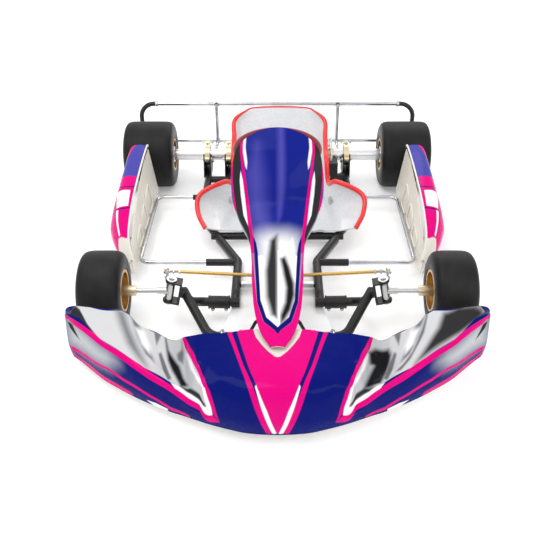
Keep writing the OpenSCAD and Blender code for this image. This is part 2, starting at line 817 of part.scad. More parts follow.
module bumper_struts() {
    y = bumper_y - bumper_r - 8.5;
    color([0.85, 0.85, 0.87]) for (s = [-1, 1]) {
        tube_path([[s * strut_x, y, bumper_top_z + 6], [s * strut_x, y, bumper_low_z - 8],
            [s * 314, 745, rail_z]], 8, 36);
        for (z = [bumper_low_z, bumper_top_z]) difference() {
            along_x(s * strut_x - 11, bumper_y, z) cylinder(r = bumper_r + 2, h = 22);
            along_x(s * strut_x - 20, bumper_y, z) cylinder(r = bumper_r - 0.95, h = 40);
        }
    }
}

module nose_bar_lower() {
    color([0.85, 0.85, 0.87]) difference() {
        tube_path([[112, hoop_y, rail_z], [112, -838, rail_z + 10], [-112, -838, rail_z + 10],
            [-112, hoop_y, rail_z]], 9, 40);
        hoop_cut();
    }
}

module nose_bar_upper() {
    color([0.85, 0.85, 0.87]) difference() {
        tube_path([[164, hoop_y, rail_z + 2], [164, -590, 140], [164, -766, 140], [-164, -766, 140],
            [-164, -590, 140], [-164, hoop_y, rail_z + 2]], 8, 36);
        hoop_cut();
    }
}

// ---------------------------------------------------------------- bodywork
// nose: one profile per place across the kart, from the bottom lip over the front to the back edge,
// each point as [distance behind the nose's foremost point, height]
nose_half = [
    [0, [11, 30], [0, 85], [6, 145], [34, 184], [110, 199], [253, 200]],
    [80, [17, 30], [5, 85], [12, 145], [44, 182], [124, 192], [253, 202]],
    [140, [34, 30], [22, 82], [30, 140], [62, 178], [135, 190], [241, 200]],
    [190, [52, 30], [43, 60], [45, 78], [52, 154], [110, 182], [237, 200]],
    [213, [62, 30], [54, 62], [54, 92], [95, 178], [150, 182], [235, 200]],
    [240, [74, 30], [65, 62], [65, 104], [110, 128], [173, 182], [230, 198]],
    [264, [85, 30], [76, 65], [78, 118], [140, 122], [205, 150], [233, 190]],
    [300, [100, 30], [91, 70], [96, 132], [140, 122], [185, 120], [250, 165]],
    [350, [126, 30], [117, 75], [125, 139], [172, 143], [225, 142], [279, 172]],
    [400, [155, 30], [146, 78], [155, 152], [220, 164], [252, 168], [291, 190]],
    [448, [187, 30], [178, 80], [192, 157], [250, 178], [290, 188], [344, 200]],
    [511, [234, 30], [226, 82], [237, 162], [290, 182], [320, 192], [356, 200]],
    [567, [289, 30], [281, 85], [292, 170], [325, 186], [345, 194], [365, 200]],
    [597, [317, 32], [309, 88], [322, 173], [345, 188], [358, 196], [370, 201]],
    [622, [335, 40], [325, 90], [350, 176], [358, 186], [364, 192], [370, 196]],
    [633, [352, 60], [345, 95], [358, 166], [364, 172], [368, 178], [372, 184]],
    [634, [376, 62], [370, 95], [374, 160], [378, 166], [380, 170], [382, 175]]];
nose_sections = concat([for (i = [len(nose_half) - 1 : -1 : 1]) nose_row(nose_half[i], -1)],
    [for (r = nose_half) nose_row(r, 1)]);
function nose_row(r, s) = [for (k = [1 : len(r) - 1]) [s * r[0], nose_y + r[k][0], r[k][1]]];

module nose_fairing() {
    color([0.12, 0.16, 0.55]) sheet(smooth(nose_sections, 2, 3), -skin_t);
}

// panel: each row is half width, edge y and z, middle y and z
panel_rows = [[34, -72, 566, -73, 570], [68, -79, 557, -84, 560], [104, -91, 539, -102, 543],
    [134, -112, 508, -133, 514], [147, -140, 455, -170, 463], [150, -160, 410, -197, 420],
    [147, -178, 362, -220, 378], [132, -225, 332, -262, 352], [112, -275, 308, -305, 332],
    [88, -326, 284, -345, 312], [80, -400, 262, -412, 290], [78, -470, 244, -480, 270],
    [68, -590, 219, -596, 242], [48, -690, 212, -694, 226], [20, -752, 209, -756, 216]];
function panel_row(r) = [for (k = [-8 : 8]) let (s = k / 8, h = 1 - pow(abs(s), 1.7))
    [r[0] * s, r[1] + (r[3] - r[1]) * h, r[2] + (r[4] - r[2]) * h]];

module front_panel() {
    color([0.12, 0.16, 0.6]) sheet(smooth([for (r = panel_rows) panel_row(r)], 2, 1), -skin_t);
}

module panel_stay() {
    color([0.07, 0.07, 0.08]) {
        for (s = [-1, 1]) tube_path([[s * 30, stay_top[1], stay_top[2] + 9.8], [s * 70, -190, 320],
            [s * 60, -166, 372]], 4, 20);
        tube_path([[-112, -600, rail_z + 15], [-60, -600, 190], [60, -600, 190], [112, -600, rail_z + 15]],
            5, 24);
        bar([0, -600, 194], [0, -600, 236], 6);
    }
}

// pods: one profile per place along the car, each from the inner top edge over to the outer bottom edge
pod_rows = [
    [pod_front_y, [505, 96], [511, 104], [518, 82], [513, 47]],
    [-62, [527, 146], [548, 140], [569, 100], [560, 45]],
    [40, [536, 176], [584, 166], [612, 110], [600, 42]],
    [130, [537, 202], [597, 186], [624, 115], [612, 40]],
    [240, [536, 225], [600, 206], [622, 130], [612, 40]],
    [390, [535, 247], [600, 233], [617, 150], [608, 45]],
    [500, [534, 256], [598, 249], [608, 168], [598, 56]],
    [pod_rear_y, [533, 250], [590, 244], [598, 168], [588, 62]]];
function pod_row(r) = [for (k = [1 : len(r) - 1]) [r[k][0], r[0], r[k][1]]];

module pod_skin() {
    sheet(smooth([for (r = pod_rows) pod_row(r)], 3, 4), -skin_t);
}

module pod_skin_left() {
    color([0.12, 0.16, 0.6]) pod_skin();
}

module pod_skin_right() {
    color([0.12, 0.16, 0.6]) mirror([1, 0, 0]) pod_skin();
}

// ribbed inner wall of a pod, leaning out towards its top
module pod_liner() {
    translate([pod_liner_x, 0, 40]) rotate([0, 8, 0]) difference() {
        union() {
            rotate([90, 0, 90]) linear_extrude(3) polygon([[pod_front_y + 4, 4], [pod_front_y + 4, 52],
                [-62, 98], [40, 130], [130, 154], [240, 178], [390, 200], [pod_rear_y - 4, 204],
                [pod_rear_y - 4, 14], [390, 2]]);
            for (y = [-20, 110, 240, 370]) translate([0, y, 6]) cube([16, 5, 90 + 0.2 * y]);
        }
        for (y = [0, 130, 260]) translate([-1, y, 30]) cube([2.4, 96, 44 + 0.16 * y]);
    }
}

module pod_liner_left() {
    color([0.91, 0.89, 0.85]) pod_liner();
}

module pod_liner_right() {
    color([0.91, 0.89, 0.85]) mirror([1, 0, 0]) pod_liner();
}

// ---------------------------------------------------------------- seat
// each row: sideways shift of its middle, then half its outline from the middle out to the rim
seat_rows = [
    [12, [0, 95, 92], [190, 95, 92], [238, 97, 94], [268, 100, 97], [284, 102, 100]],
    [13, [0, 150, 62], [172, 150, 64], [232, 158, 98], [288, 166, 120], [310, 170, 136]],
    [15, [0, 230, 48], [172, 230, 50], [222, 233, 98], [286, 226, 142], [315, 212, 172]],
    [14, [0, 320, 45], [166, 318, 50], [194, 308, 105], [208, 292, 165], [216, 276, 206]],
    [13, [0, 400, 52], [156, 395, 60], [178, 378, 100], [187, 362, 135], [190, 350, 166]],
    [11, [0, 460, 85], [148, 450, 92], [172, 430, 140], [181, 405, 200], [184, 390, 240]],
    [10, [0, 520, 160], [144, 512, 166], [170, 490, 200], [181, 465, 240], [184, 450, 262]],
    [10, [0, 572, 260], [142, 563, 260], [170, 545, 275], [181, 525, 290], [184, 515, 298]],
    [10, [0, 606, 335], [132, 598, 335], [166, 588, 338], [178, 580, 341], [183, 572, 344]],
    [12, [0, 626, 380], [60, 624, 380], [95, 621, 379], [112, 619, 378], [126, 616, 377]]];
function seat_row(r) = concat([for (k = [len(r) - 1 : -1 : 2]) [r[0] - r[k][0], r[k][1], r[k][2]]],
    [for (k = [1 : len(r) - 1]) [r[0] + r[k][0], r[k][1], r[k][2]]]);
seat_net = smooth([for (r = seat_rows) seat_row(r)], 2, 2);
seat_t = 4;
trim_r = 6.5;

module seat_shell() {
    color([0.78, 0.79, 0.81]) sheet(seat_net, seat_t);
}

// rolled trim on the rim: up one side, over the top and down the other
function rim_points(side) = [for (r = seat_rows) let (p = r[len(r) - 1]) [r[0] + side * p[0], p[1], p[2]]];

module seat_trim() {
    color([0.8, 0.1, 0.1]) tube_path(concat(rim_points(-1), backward(rim_points(1))), trim_r, 18);
}

module seat_brackets() {
    color([0.07, 0.07, 0.08]) {
        difference() {
            for (x = [-120, 160]) translate([x - 15, seat_cross_y - 4, rail_z + 10]) cube([30, 8, 5.6]);
            bar([-250, seat_cross_y, rail_z], [250, seat_cross_y, rail_z], cross_r + weld_gap);
        }
        difference() {
            union() {
                bar([285, 300, rail_z + 4], [226, 300, 86], 6);
                bar([-285, 300, rail_z + 4], [-198, 300, 86], 6);
            }
            rail_cut(rail_pts);
            rail_cut(flip(rail_pts));
        }
    }
}

rail_left();
rail_right();
rail_middle();
front_hoop();
front_bars();
seat_cross();
rear_cross();
column_foot();
column_stay();
yokes();
kingpins();
side_stubs();
side_bar_left();
side_bar_right();
floor_tray();
tray_bolts();
bumper_bars();
bumper_ends();
bumper_struts();
nose_bar_lower();
nose_bar_upper();
nose_fairing();
front_panel();
panel_stay();
pod_skin_left();
pod_skin_right();
pod_liner_left();
pod_liner_right();
seat_shell();
seat_trim();
seat_brackets();
carriers();
carrier_bearings();
carrier_stands();
caliper();
pedal_brackets();
column();
steering_rim();
wheel_spider();
pitman();
spindle_left();
spindle_right();
tie_rod_left();
tie_rod_right();
brake_pedal();
throttle_pedal();
hub_front_left();
hub_front_right();
rim_front_left();
rim_front_right();
tyre_front_left();
tyre_front_right();
rear_axle();
rear_hubs();
rear_rims();
tyre_rear_left();
tyre_rear_right();
brake_disc();
disc_hub();
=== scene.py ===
import math

import bpy
import numpy as np
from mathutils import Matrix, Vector


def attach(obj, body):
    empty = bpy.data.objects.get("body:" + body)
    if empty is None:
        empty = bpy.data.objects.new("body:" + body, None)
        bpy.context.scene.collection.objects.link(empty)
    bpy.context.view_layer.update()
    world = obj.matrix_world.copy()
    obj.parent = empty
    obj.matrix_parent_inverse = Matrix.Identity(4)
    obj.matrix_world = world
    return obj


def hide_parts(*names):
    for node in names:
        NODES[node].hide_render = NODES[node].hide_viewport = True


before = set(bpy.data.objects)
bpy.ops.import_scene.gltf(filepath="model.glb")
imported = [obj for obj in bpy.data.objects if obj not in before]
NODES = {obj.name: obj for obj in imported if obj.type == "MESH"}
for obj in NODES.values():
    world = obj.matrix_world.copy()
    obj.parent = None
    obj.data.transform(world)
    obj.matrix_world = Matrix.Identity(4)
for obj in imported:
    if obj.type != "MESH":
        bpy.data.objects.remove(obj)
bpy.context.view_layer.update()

MM = 0.001


# ---------------- smooth nets and meshes
def spline(a, b, c, d, t):
    return 0.5 * (2 * b + (c - a) * t + (2 * a - 5 * b + 4 * c - d) * t * t
                  + (3 * b - a - 3 * c + d) * t * t * t)


def at(net, places):
    """Points of the smooth curve through net's rows, at places counted in rows."""
    net = np.asarray(net, float)
    places = np.asarray(places, float)
    i = np.clip(places.astype(int), 0, len(net) - 2)
    f = (places - i).reshape(-1, *([1] * (net.ndim - 1)))
    a, b, c, d = (net[np.clip(i + o, 0, len(net) - 1)] for o in (-1, 0, 1, 2))
    return spline(a, b, c, d, f)


def even(net, pitch):
    """Places along net's rows that are about pitch apart at most."""
    t = np.linspace(0, len(net) - 1, 24 * (len(net) - 1) + 1)
    step = np.linalg.norm(np.diff(at(net, t), axis=0), axis=-1).reshape(len(t) - 1, -1).max(1)
    run = np.concatenate([[0], np.cumsum(step)])
    return np.interp(np.linspace(0, run[-1], int(run[-1] / pitch) + 2), run, t)


def surface(net, pitch_u, pitch_v):
    """A fine grid on the smooth surface through a net, with each point's place in the net."""
    net = np.asarray(net, float)
    pu = even(net, pitch_u)
    pv = even(net.transpose(1, 0, 2), pitch_v)
    grid = at(at(net.transpose(1, 0, 2), pv).transpose(1, 0, 2), pu)
    return grid, pu, pv


def normals_of(grid):
    du = np.gradient(grid, axis=0)
    dv = np.gradient(grid, axis=1)
    n = np.cross(du, dv)
    return n / np.maximum(np.linalg.norm(n, axis=-1, keepdims=True), 1e-9)


def link(name, data):
    ob = bpy.data.objects.new(name, data)
    bpy.context.scene.collection.objects.link(ob)
    return ob


def build(name, points, faces, material, body, slot, replaces=(), sharp=35.0):
    """One mesh piece from points in millimetres; it rides on body."""
    me = bpy.data.meshes.new(name)
    me.from_pydata((np.asarray(points) * MM).tolist(), [], [[int(i) for i in f] for f in faces])
    me.update()
    me.polygons.foreach_set("use_smooth", np.ones(len(me.polygons), bool))
    if sharp:
        me.set_sharp_from_angle(angle=math.radians(sharp))
    me.materials.append(material)
    ob = link(name, me)
    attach(ob, body)
    if replaces:
        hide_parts(*replaces)
    return ob


def strip(a, b):
    """Quads between two loops of point numbers of equal length."""
    return np.stack([a[:-1], a[1:], b[1:], b[:-1]], -1).reshape(-1, 4)


def shell(grid, t):
    """A grid's points and quads with a back face t behind it and a rounded edge all round."""
    nu, nv = grid.shape[:2]
    n = normals_of(grid)
    numbers = np.arange(nu * nv).reshape(nu, nv)
    front = np.stack([numbers[:-1, :-1], numbers[:-1, 1:], numbers[1:, 1:], numbers[1:, :-1]], -1)
    front = front.reshape(-1, 4)
    back = front[:, ::-1] + nu * nv
    rim = np.concatenate([numbers[:-1, 0], numbers[-1, :-1], numbers[:0:-1, -1], numbers[0, :0:-1],
                          numbers[0, :1]])
    flat = grid.reshape(-1, 3)
    inner = flat + n.reshape(-1, 3) * t
    centre = (flat[rim] + inner[rim]) / 2
    nxt = np.roll(rim[:-1], -1)
    prev = np.roll(rim[:-1], 1)
    along = flat[nxt] - flat[prev]
    side = np.cross(along, n.reshape(-1, 3)[rim[:-1]])
    side /= np.maximum(np.linalg.norm(side, axis=1, keepdims=True), 1e-9)
    bulge = centre[:-1] + side * abs(t) * 0.42 * np.sign(t)
    ring = np.arange(len(bulge)) + 2 * nu * nv
    ring = np.append(ring, ring[0])
    quads = [front, back, strip(rim, ring)[:, ::-1], strip(ring, rim + nu * nv)[:, ::-1]]
    if t > 0:
        quads = [q[:, ::-1] for q in quads]
    return np.concatenate([flat, inner, bulge]), np.concatenate(quads)


class Kit:
    """Gathers small shapes into one mesh."""

    def __init__(self):
        self.points = []
        self.faces = []

    def add(self, shape, side=1):
        """Adds a shape's points and faces, carried over to the other side when side is -1."""
        points, faces = shape
        k = sum(len(p) for p in self.points)
        self.points.append(np.asarray(points, float) * [side, 1, 1])
        self.faces += [[int(i) + k for i in f][::side] for f in faces]
        return self

    def shape(self):
        return np.concatenate(self.points), self.faces

    def make(self, name, material, body, slot, replaces=(), sharp=35.0):
        return build(name, *self.shape(), material, body, slot, replaces, sharp)


def frame_at(axis, near=None):
    z = np.asarray(axis, float)
    z = z / np.linalg.norm(z)
    ref = np.asarray(near if near is not None else ([0, 0, 1] if abs(z[2]) < 0.9 else [0, 1, 0]), float)
    x = ref - z * ref.dot(z)
    x /= np.linalg.norm(x)
    return x, np.cross(z, x), z


def lathe(profile, centre, axis, n=48, near=None):
    """Turned shape: profile of [radius, distance along axis], closed when its ends meet."""
    x, y, z = frame_at(axis, near)
    profile = np.asarray(profile, float)
    closed = np.allclose(profile[0], profile[-1])
    if closed:
        profile = profile[:-1]
    a = np.arange(n) * 2 * math.pi / n
    ring = np.cos(a)[:, None] * x + np.sin(a)[:, None] * y
    pts = (np.asarray(centre, float) + profile[None, :, :1] * ring[:, None, :]
           + profile[None, :, 1:] * z).reshape(-1, 3)
    m = len(profile)
    faces = []
    for i in range(n):
        j = (i + 1) % n
        for k in range(m if closed else m - 1):
            l = (k + 1) % m
            quad = [i * m + k, j * m + k, j * m + l, i * m + l]
            if profile[k][0] < 1e-6:
                quad = [quad[0], quad[2], quad[3]]
            elif profile[l][0] < 1e-6:
                quad = [quad[0], quad[1], quad[3]]
            faces.append(quad)
    return pts, faces


def tube(path, r, n=12, closed=False):
    """A round tube along points; r is one radius or one for each point."""
    path = np.asarray(path, float)
    m = len(path)
    r = np.broadcast_to(np.asarray(r, float), (m,))
    if closed:
        tangents = np.roll(path, -1, 0) - np.roll(path, 1, 0)
    else:
        tangents = np.gradient(path, axis=0)
    tangents /= np.linalg.norm(tangents, axis=1, keepdims=True)
    x = frame_at(tangents[0])[0]
    pts = []
    a = np.arange(n) * 2 * math.pi / n
    for p, t, rad in zip(path, tangents, r):
        x = x - t * x.dot(t)
        x /= np.linalg.norm(x)
        y = np.cross(t, x)
        pts.append(p + rad * (np.cos(a)[:, None] * x + np.sin(a)[:, None] * y))
    faces = []
    for i in range(m if closed else m - 1):
        j = (i + 1) % m
        faces += [(i * n + k, i * n + (k + 1) % n, j * n + (k + 1) % n, j * n + k) for k in range(n)]
    if not closed:
        faces += [tuple(range(n))[::-1], tuple((m - 1) * n + k for k in range(n))]
    return np.concatenate(pts), faces


def bolt(at_, axis, flats=10.0, h=6.0, shank=0.0):
    """Hex bolt head with a chamfer, on a washer, its underside at at_."""
    z = frame_at(axis)[2]
    at_ = np.asarray(at_, float)
    base = 1.4
    kit = Kit().add(lathe([[0, 0], [flats * 0.78, 0], [flats * 0.82, 0.3], [flats * 0.78, base], [0, base]],
                          at_, z, 20))
    r = flats / 2 / math.cos(math.pi / 6)
    kit.add(lathe([[0, base], [r, base], [r, base + h * 0.82], [r * 0.86, base + h], [0, base + h]],
                  at_, z, 6))
    if shank:
        kit.add(lathe([[0, base + h - 0.5], [flats * 0.29, base + h - 0.5],
                       [flats * 0.29, base + h + shank - 1], [flats * 0.22, base + h + shank],
                       [0, base + h + shank]], at_, z, 14))
    return kit.shape()


def socket_bolt(at_, axis, r=5.0, h=6.0):
    """Round cap screw with a hollow drive."""
    s = r * 0.52
    return lathe([[0, 0], [r, 0], [r, h - 0.6], [r - 0.6, h], [s, h], [s * 0.92, h - 3], [0, h - 3]],
                 at_, axis, 20)


def ring(bore, r, low, high, cut, at_, axis, n=36):
    """Turned ring between two places on its axis; cut is the chamfer, radial and axial."""
    c, d = cut
    return lathe([[bore, low], [r - c, low], [r, low + d], [r, high - d], [r - c, high], [bore, high],
                  [bore, low]], at_, axis, n)


def block(lo, hi, c=1.0):
    """Box from lo to hi with its edges cut at 45 degrees."""
    lo, hi = np.asarray(lo, float), np.asarray(hi, float)
    pts, index = [], {}
    for ix in (0, 1):
        for iy in (0, 1):
            for iz in (0, 1):
                corner = np.where([ix, iy, iz], hi, lo)
                inward = np.where([ix, iy, iz], -1.0, 1.0) * c
                for k in range(3):
                    p = corner + inward
                    p[k] = corner[k]
                    index[(ix, iy, iz, k)] = len(pts)
                    pts.append(p)
    faces = []
    for k in range(3):
        u, v = (k + 1) % 3, (k + 2) % 3
        for side in (0, 1):
            face = []
            for a, b in ((0, 0), (1, 0), (1, 1), (0, 1)):
                key = [0, 0, 0]
                key[k], key[u], key[v] = side, a, b
                face.append(index[(*key, k)])
            faces.append(face if side else face[::-1])
        for a in (0, 1):
            for b in (0, 1):
                key = [0, 0, 0]
                key[u], key[v] = a, b
                low, high = list(key), list(key)
                high[k] = 1
                quad = [index[(*low, u)], index[(*high, u)], index[(*high, v)], index[(*low, v)]]
                faces.append(quad if a == b else quad[::-1])
    for ix in (0, 1):
        for iy in (0, 1):
            for iz in (0, 1):
                tri = [index[(ix, iy, iz, k)] for k in range(3)]
                faces.append(tri if (ix + iy + iz) % 2 else tri[::-1])
    return np.array(pts), faces


# ---------------- materials
class Shade:
    """A principled material and short ways to wire nodes into it."""

    def __init__(self, name, colour=(0.5, 0.5, 0.5), metal=0.0, rough=0.5, coat=0.0, coat_rough=0.03):
        self.mat = bpy.data.materials.new(name)
        self.mat.use_nodes = True
        self.tree = self.mat.node_tree
        self.bsdf = self.tree.nodes["Principled BSDF"]
        self.set("Base Color", (*colour, 1.0))
        self.set("Metallic", metal)
        self.set("Roughness", rough)
        self.set("Coat Weight", coat)
        self.set("Coat Roughness", coat_rough)
        self.place = None

    def set(self, socket, value):
        self.bsdf.inputs[socket].default_value = value

    def node(self, kind, **inputs):
        n = self.tree.nodes.new("ShaderNode" + kind)
        for key, value in inputs.items():
            self.feed(n.inputs[key.replace("_", " ")], value)
        return n

    def feed(self, socket, value):
        if isinstance(value, bpy.types.NodeSocket):
            self.tree.links.new(value, socket)
        else:
            socket.default_value = value

    def coords(self, scale=(1, 1, 1)):
        if self.place is None:
            self.place = self.tree.nodes.new("ShaderNodeTexCoord").outputs["Object"]
        if scale == (1, 1, 1):
            return self.place
        m = self.node("Mapping", Vector=self.place, Scale=scale)
        return m.outputs["Vector"]

    def noise(self, scale, detail=3.0, stretch=(1, 1, 1), rough=0.5):
        n = self.node("TexNoise", Vector=self.coords(stretch), Scale=scale, Detail=detail, Roughness=rough)
        return n.outputs["Fac"]

    def span(self, value, low, high, out_low=0.0, out_high=1.0, smooth=False):
        n = self.tree.nodes.new("ShaderNodeMapRange")
        if smooth:
            n.interpolation_type = "SMOOTHSTEP"
        self.feed(n.inputs["Value"], value)
        for key, v in (("From Min", low), ("From Max", high), ("To Min", out_low), ("To Max", out_high)):
            n.inputs[key].default_value = v
        return n.outputs["Result"]

    def cloud(self, scale, detail, low, high, out_low=0.0, out_high=1.0, stretch=(1, 1, 1)):
        """Noise spread from low..high to out_low..out_high."""
        return self.span(self.noise(scale, detail, stretch), low, high, out_low, out_high)

    def math(self, operation, a, b=0.0):
        n = self.tree.nodes.new("ShaderNodeMath")
        n.operation = operation
        self.feed(n.inputs[0], a)
        self.feed(n.inputs[1], b)
        return n.outputs[0]

    def mix(self, amount, a, b):
        n = self.tree.nodes.new("ShaderNodeMix")
        n.data_type = "RGBA"
        self.feed(n.inputs[0], amount)
        for socket, v in ((n.inputs[6], a), (n.inputs[7], b)):
            self.feed(socket, (*v, 1.0) if isinstance(v, tuple) and len(v) == 3 else v)
        return n.outputs[2]

    def attribute(self, name):
        n = self.tree.nodes.new("ShaderNodeAttribute")
        n.attribute_name = name
        return n.outputs["Fac"]

    def round_axle(self, y, z):
        """Distance from an axle at y, z in millimetres, and the place along it."""
        where = self.node("SeparateXYZ", Vector=self.coords())
        dy = self.math("SUBTRACT", where.outputs["Y"], y * MM)
        dz = self.math("SUBTRACT", where.outputs["Z"], z * MM)
        square = self.math("ADD", self.math("MULTIPLY", dy, dy), self.math("MULTIPLY", dz, dz))
        return self.math("SQRT", square), where.outputs["X"]

    def bump(self, height, strength, distance):
        n = self.node("Bump", Strength=strength, Distance=distance, Height=height)
        self.feed(self.bsdf.inputs["Normal"], n.outputs["Normal"])

    def colour(self, value):
        self.feed(self.bsdf.inputs["Base Color"], value)

    def roughness(self, value):
        self.feed(self.bsdf.inputs["Roughness"], value)


def powder_coat(name, tone=0.009, light=0.035):
    """Black powder coat: fine orange peel, dust in patches, a few pale scuffs."""
    s = Shade(name, rough=0.4)
    s.set("Specular IOR Level", 0.35)
    dust = s.cloud(9, 4, 0.42, 0.7)
    scuffs = s.cloud(70, 6, 0.66, 0.74, stretch=(1, 1, 3))
    base = s.mix(dust, (tone, tone, tone * 1.08), (tone * 1.8, tone * 1.8, tone * 1.85))
    s.colour(s.mix(s.math("MULTIPLY", scuffs, 0.5), base, (light * 2, light * 2, light * 2.1)))
    s.roughness(s.cloud(40, 3, 0.3, 0.7, 0.3, 0.46))
    s.bump(s.noise(900, 2), 0.18, 0.0004)
    return s.mat


def brushed_metal(name, colour, rough=0.25, along=(1, 1, 1), spread=0.14, dirt=0.25):
    """Bare metal: fine tool marks across along, slow tarnish."""
    s = Shade(name, metal=1.0)
    marks = s.noise(420, 2, along)
    tarnish = s.cloud(14, 5, 0.4, 0.75)
    dark = tuple(c * (1 - dirt) for c in colour)
    base = s.mix(s.span(marks, 0.3, 0.7), tuple(c * 0.94 for c in colour), colour)
    s.colour(s.mix(s.math("MULTIPLY", tarnish, 0.6), base, dark))
    s.roughness(s.math("ADD", s.span(marks, 0.25, 0.75, rough - spread / 2, rough + spread / 2),
                       s.math("MULTIPLY", tarnish, 0.08)))
    s.bump(marks, 0.08, 0.0003)
    return s.mat


def chrome(name):
    """Plated tube: clean, with faint smears in the gloss; the same patches also move its colour between mid
    and dark grey, a painted reflection of darker surroundings.
    """
    s = Shade(name, (0.82, 0.83, 0.85), metal=1.0)
    smear_and_painted_reflection = s.noise(22, 5)
    # painted reflection: the plating's colour is kept mid to dark grey, darker in patches, for the darker
    # surroundings it would mirror
    s.colour(s.mix(s.span(smear_and_painted_reflection, 0.45, 0.8), (0.60, 0.61, 0.63), (0.40, 0.41, 0.43)))
    s.roughness(s.span(smear_and_painted_reflection, 0.4, 0.75, 0.06, 0.2))
    s.bump(s.noise(260, 2), 0.03, 0.0002)
    return s.mat


def plastic(name, colour, rough=0.42, grain=520, depth=0.12, vary=0.06, coat=0.0):
    """Moulded plastic: leathery grain, slight uneven tone and gloss."""
    s = Shade(name, rough=rough, coat=coat, coat_rough=0.08)
    tone = s.cloud(6, 4, 0.35, 0.7)
    dark = tuple(c * (1 - vary) for c in colour)
    s.colour(s.mix(tone, dark, tuple(min(1, c * (1 + vary / 2)) for c in colour)))
    s.roughness(s.cloud(60, 3, 0.3, 0.7, rough - 0.07, rough + 0.07))
    s.bump(s.noise(grain, 3), depth, 0.0005)
    return s.mat


def tyre_rubber(name, y, z, r):
    """Slick tyre: worn tread with fine rings and rubber grain, smoother shiny sidewalls."""
    s = Shade(name)
    s.set("Specular IOR Level", 0.2)
    radius, across = s.round_axle(y, z)
    tread = s.span(radius, (r - 16) * MM, (r - 4) * MM)
    grain = s.noise(700, 4)
    blotch = s.cloud(16, 5, 0.35, 0.75)
    side = s.mix(blotch, (0.006, 0.006, 0.0065), (0.011, 0.011, 0.012))
    face = s.mix(blotch, (0.008, 0.008, 0.0085), (0.015, 0.015, 0.015))
    s.colour(s.mix(tread, side, face))
    s.roughness(s.math("ADD", s.span(tread, 0, 1, 0.4, 0.52), s.span(grain, 0.3, 0.7, -0.05, 0.05)))
    rings = s.math("SINE", s.math("MULTIPLY", radius, 2 * math.pi / 0.0042))
    lines = s.math("SINE", s.math("MULTIPLY", across, 2 * math.pi / 0.0036))
    relief = s.mix(tread, s.math("MULTIPLY", rings, 0.35), s.math("MULTIPLY", lines, 0.2))
    s.bump(s.math("ADD", relief, s.math("MULTIPLY", grain, 0.5)), 0.14, 0.0005)
    return s.mat


def suede(name):
    """Flocked grip: soft nap in two tones."""
    s = Shade(name, rough=0.9)
    nap = s.noise(260, 6)
    s.colour(s.mix(s.span(nap, 0.3, 0.7), (0.16, 0.006, 0.014), (0.3, 0.02, 0.03)))
    s.set("Sheen Weight", 0.5)
    s.set("Sheen Roughness", 0.4)
    s.bump(s.noise(1400, 2), 0.3, 0.0005)
    return s.mat


def fibreglass(name):
    """Silver-grey gelcoat over chopped glass: flecks lying every way under a clear coat."""
    s = Shade(name, coat=0.5, coat_rough=0.1)
    cells = s.node("TexVoronoi", Vector=s.coords((1.0, 2.6, 1.4)), Scale=120.0)
    flecks = s.node("SeparateColor", Color=cells.outputs["Color"])
    haze = s.cloud(7, 4, 0.35, 0.7)
    base = s.mix(s.span(flecks.outputs["Red"], 0.0, 1.0), (0.68, 0.70, 0.725), (0.78, 0.80, 0.82))
    s.colour(s.mix(s.math("MULTIPLY", haze, 0.5), base, (0.64, 0.66, 0.685)))
    s.roughness(s.span(flecks.outputs["Green"], 0, 1, 0.32, 0.46))
    s.bump(s.noise(180, 4), 0.025, 0.0005)
    return s.mat


def red_vinyl(name):
    """Glossy red edging with fine wrinkles across it."""
    s = Shade(name, coat=0.3, coat_rough=0.12)
    tone = s.cloud(24, 4, 0.35, 0.7)
    s.colour(s.mix(tone, (0.78, 0.010, 0.014), (0.92, 0.022, 0.026)))
    s.roughness(s.cloud(90, 3, 0.3, 0.7, 0.28, 0.42))
    s.bump(s.noise(420, 3), 0.12, 0.0005)
    return s.mat


def sheet_metal(name):
    """Pale floor sheet: rolled grain along the kart, heel scuffs, a satin lacquer."""
    s = Shade(name, metal=0.1, coat=0.2, coat_rough=0.2)
    grain = s.noise(300, 3, (6, 0.4, 1))
    wear = s.cloud(11, 6, 0.5, 0.72)
    base = s.mix(s.span(grain, 0.3, 0.7), (0.86, 0.86, 0.87), (0.93, 0.93, 0.94))
    s.colour(s.mix(s.math("MULTIPLY", wear, 0.35), base, (0.72, 0.72, 0.73)))
    s.roughness(s.span(grain, 0.2, 0.8, 0.34, 0.5))
    s.bump(grain, 0.05, 0.0003)
    return s.mat


def machined_disc(name, y, z):
    """Brake disc: rings turned round the axle, a straw tint from heat."""
    s = Shade(name, metal=1.0)
    radius = s.round_axle(y, z)[0]
    rings = s.math("SINE", s.math("MULTIPLY", radius, 2 * math.pi / 0.0018))
    swept = s.span(radius, 0.068, 0.076)
    s.colour(s.mix(swept, (0.62, 0.52, 0.34), (0.72, 0.71, 0.68)))
    s.roughness(s.math("ADD", s.span(rings, -1, 1, 0.22, 0.34), s.math("MULTIPLY", s.noise(60, 3), 0.06)))
    s.bump(rings, 0.06, 0.0002)
    return s.mat


def layered(name, base, layers, gloss=0.28):
    """Gloss bodywork paint: ivory behind, the base colour in front, then each layer from the bottom up.
    Each layer's attribute is the distance inside its area in millimetres."""
    s = Shade(name, coat=0.08, coat_rough=0.03)
    s.set("Specular IOR Level", 0.02)
    value = (*IVORY, 1.0)
    for key, _, _, soft, colour in [("face", True, [], 1, base), *layers]:
        area = s.span(s.attribute(key), -soft, soft, smooth=soft > 2)
        value = s.mix(area, value, colour)
    tone = s.cloud(5, 3, 0.3, 0.75, 0.95, 1.0)
    hsv = s.node("HueSaturation", Color=value, Value=tone)
    s.colour(hsv.outputs["Color"])
    s.roughness(s.cloud(34, 4, 0.3, 0.75, gloss - 0.06, gloss + 0.08))
    return s.mat


# ---------------- camera, lights, floor
def make_camera():
    cam = bpy.data.cameras.new("camera")
    cam.lens = 47.39
    cam.sensor_width = 36
    cam.shift_x = 0.0066
    ob = link("camera", cam)
    ob.location = (-0.0038, -2.3256, 1.4721)
    ob.rotation_euler = (math.radians(56.47), 0, 0)
    bpy.context.scene.camera = ob


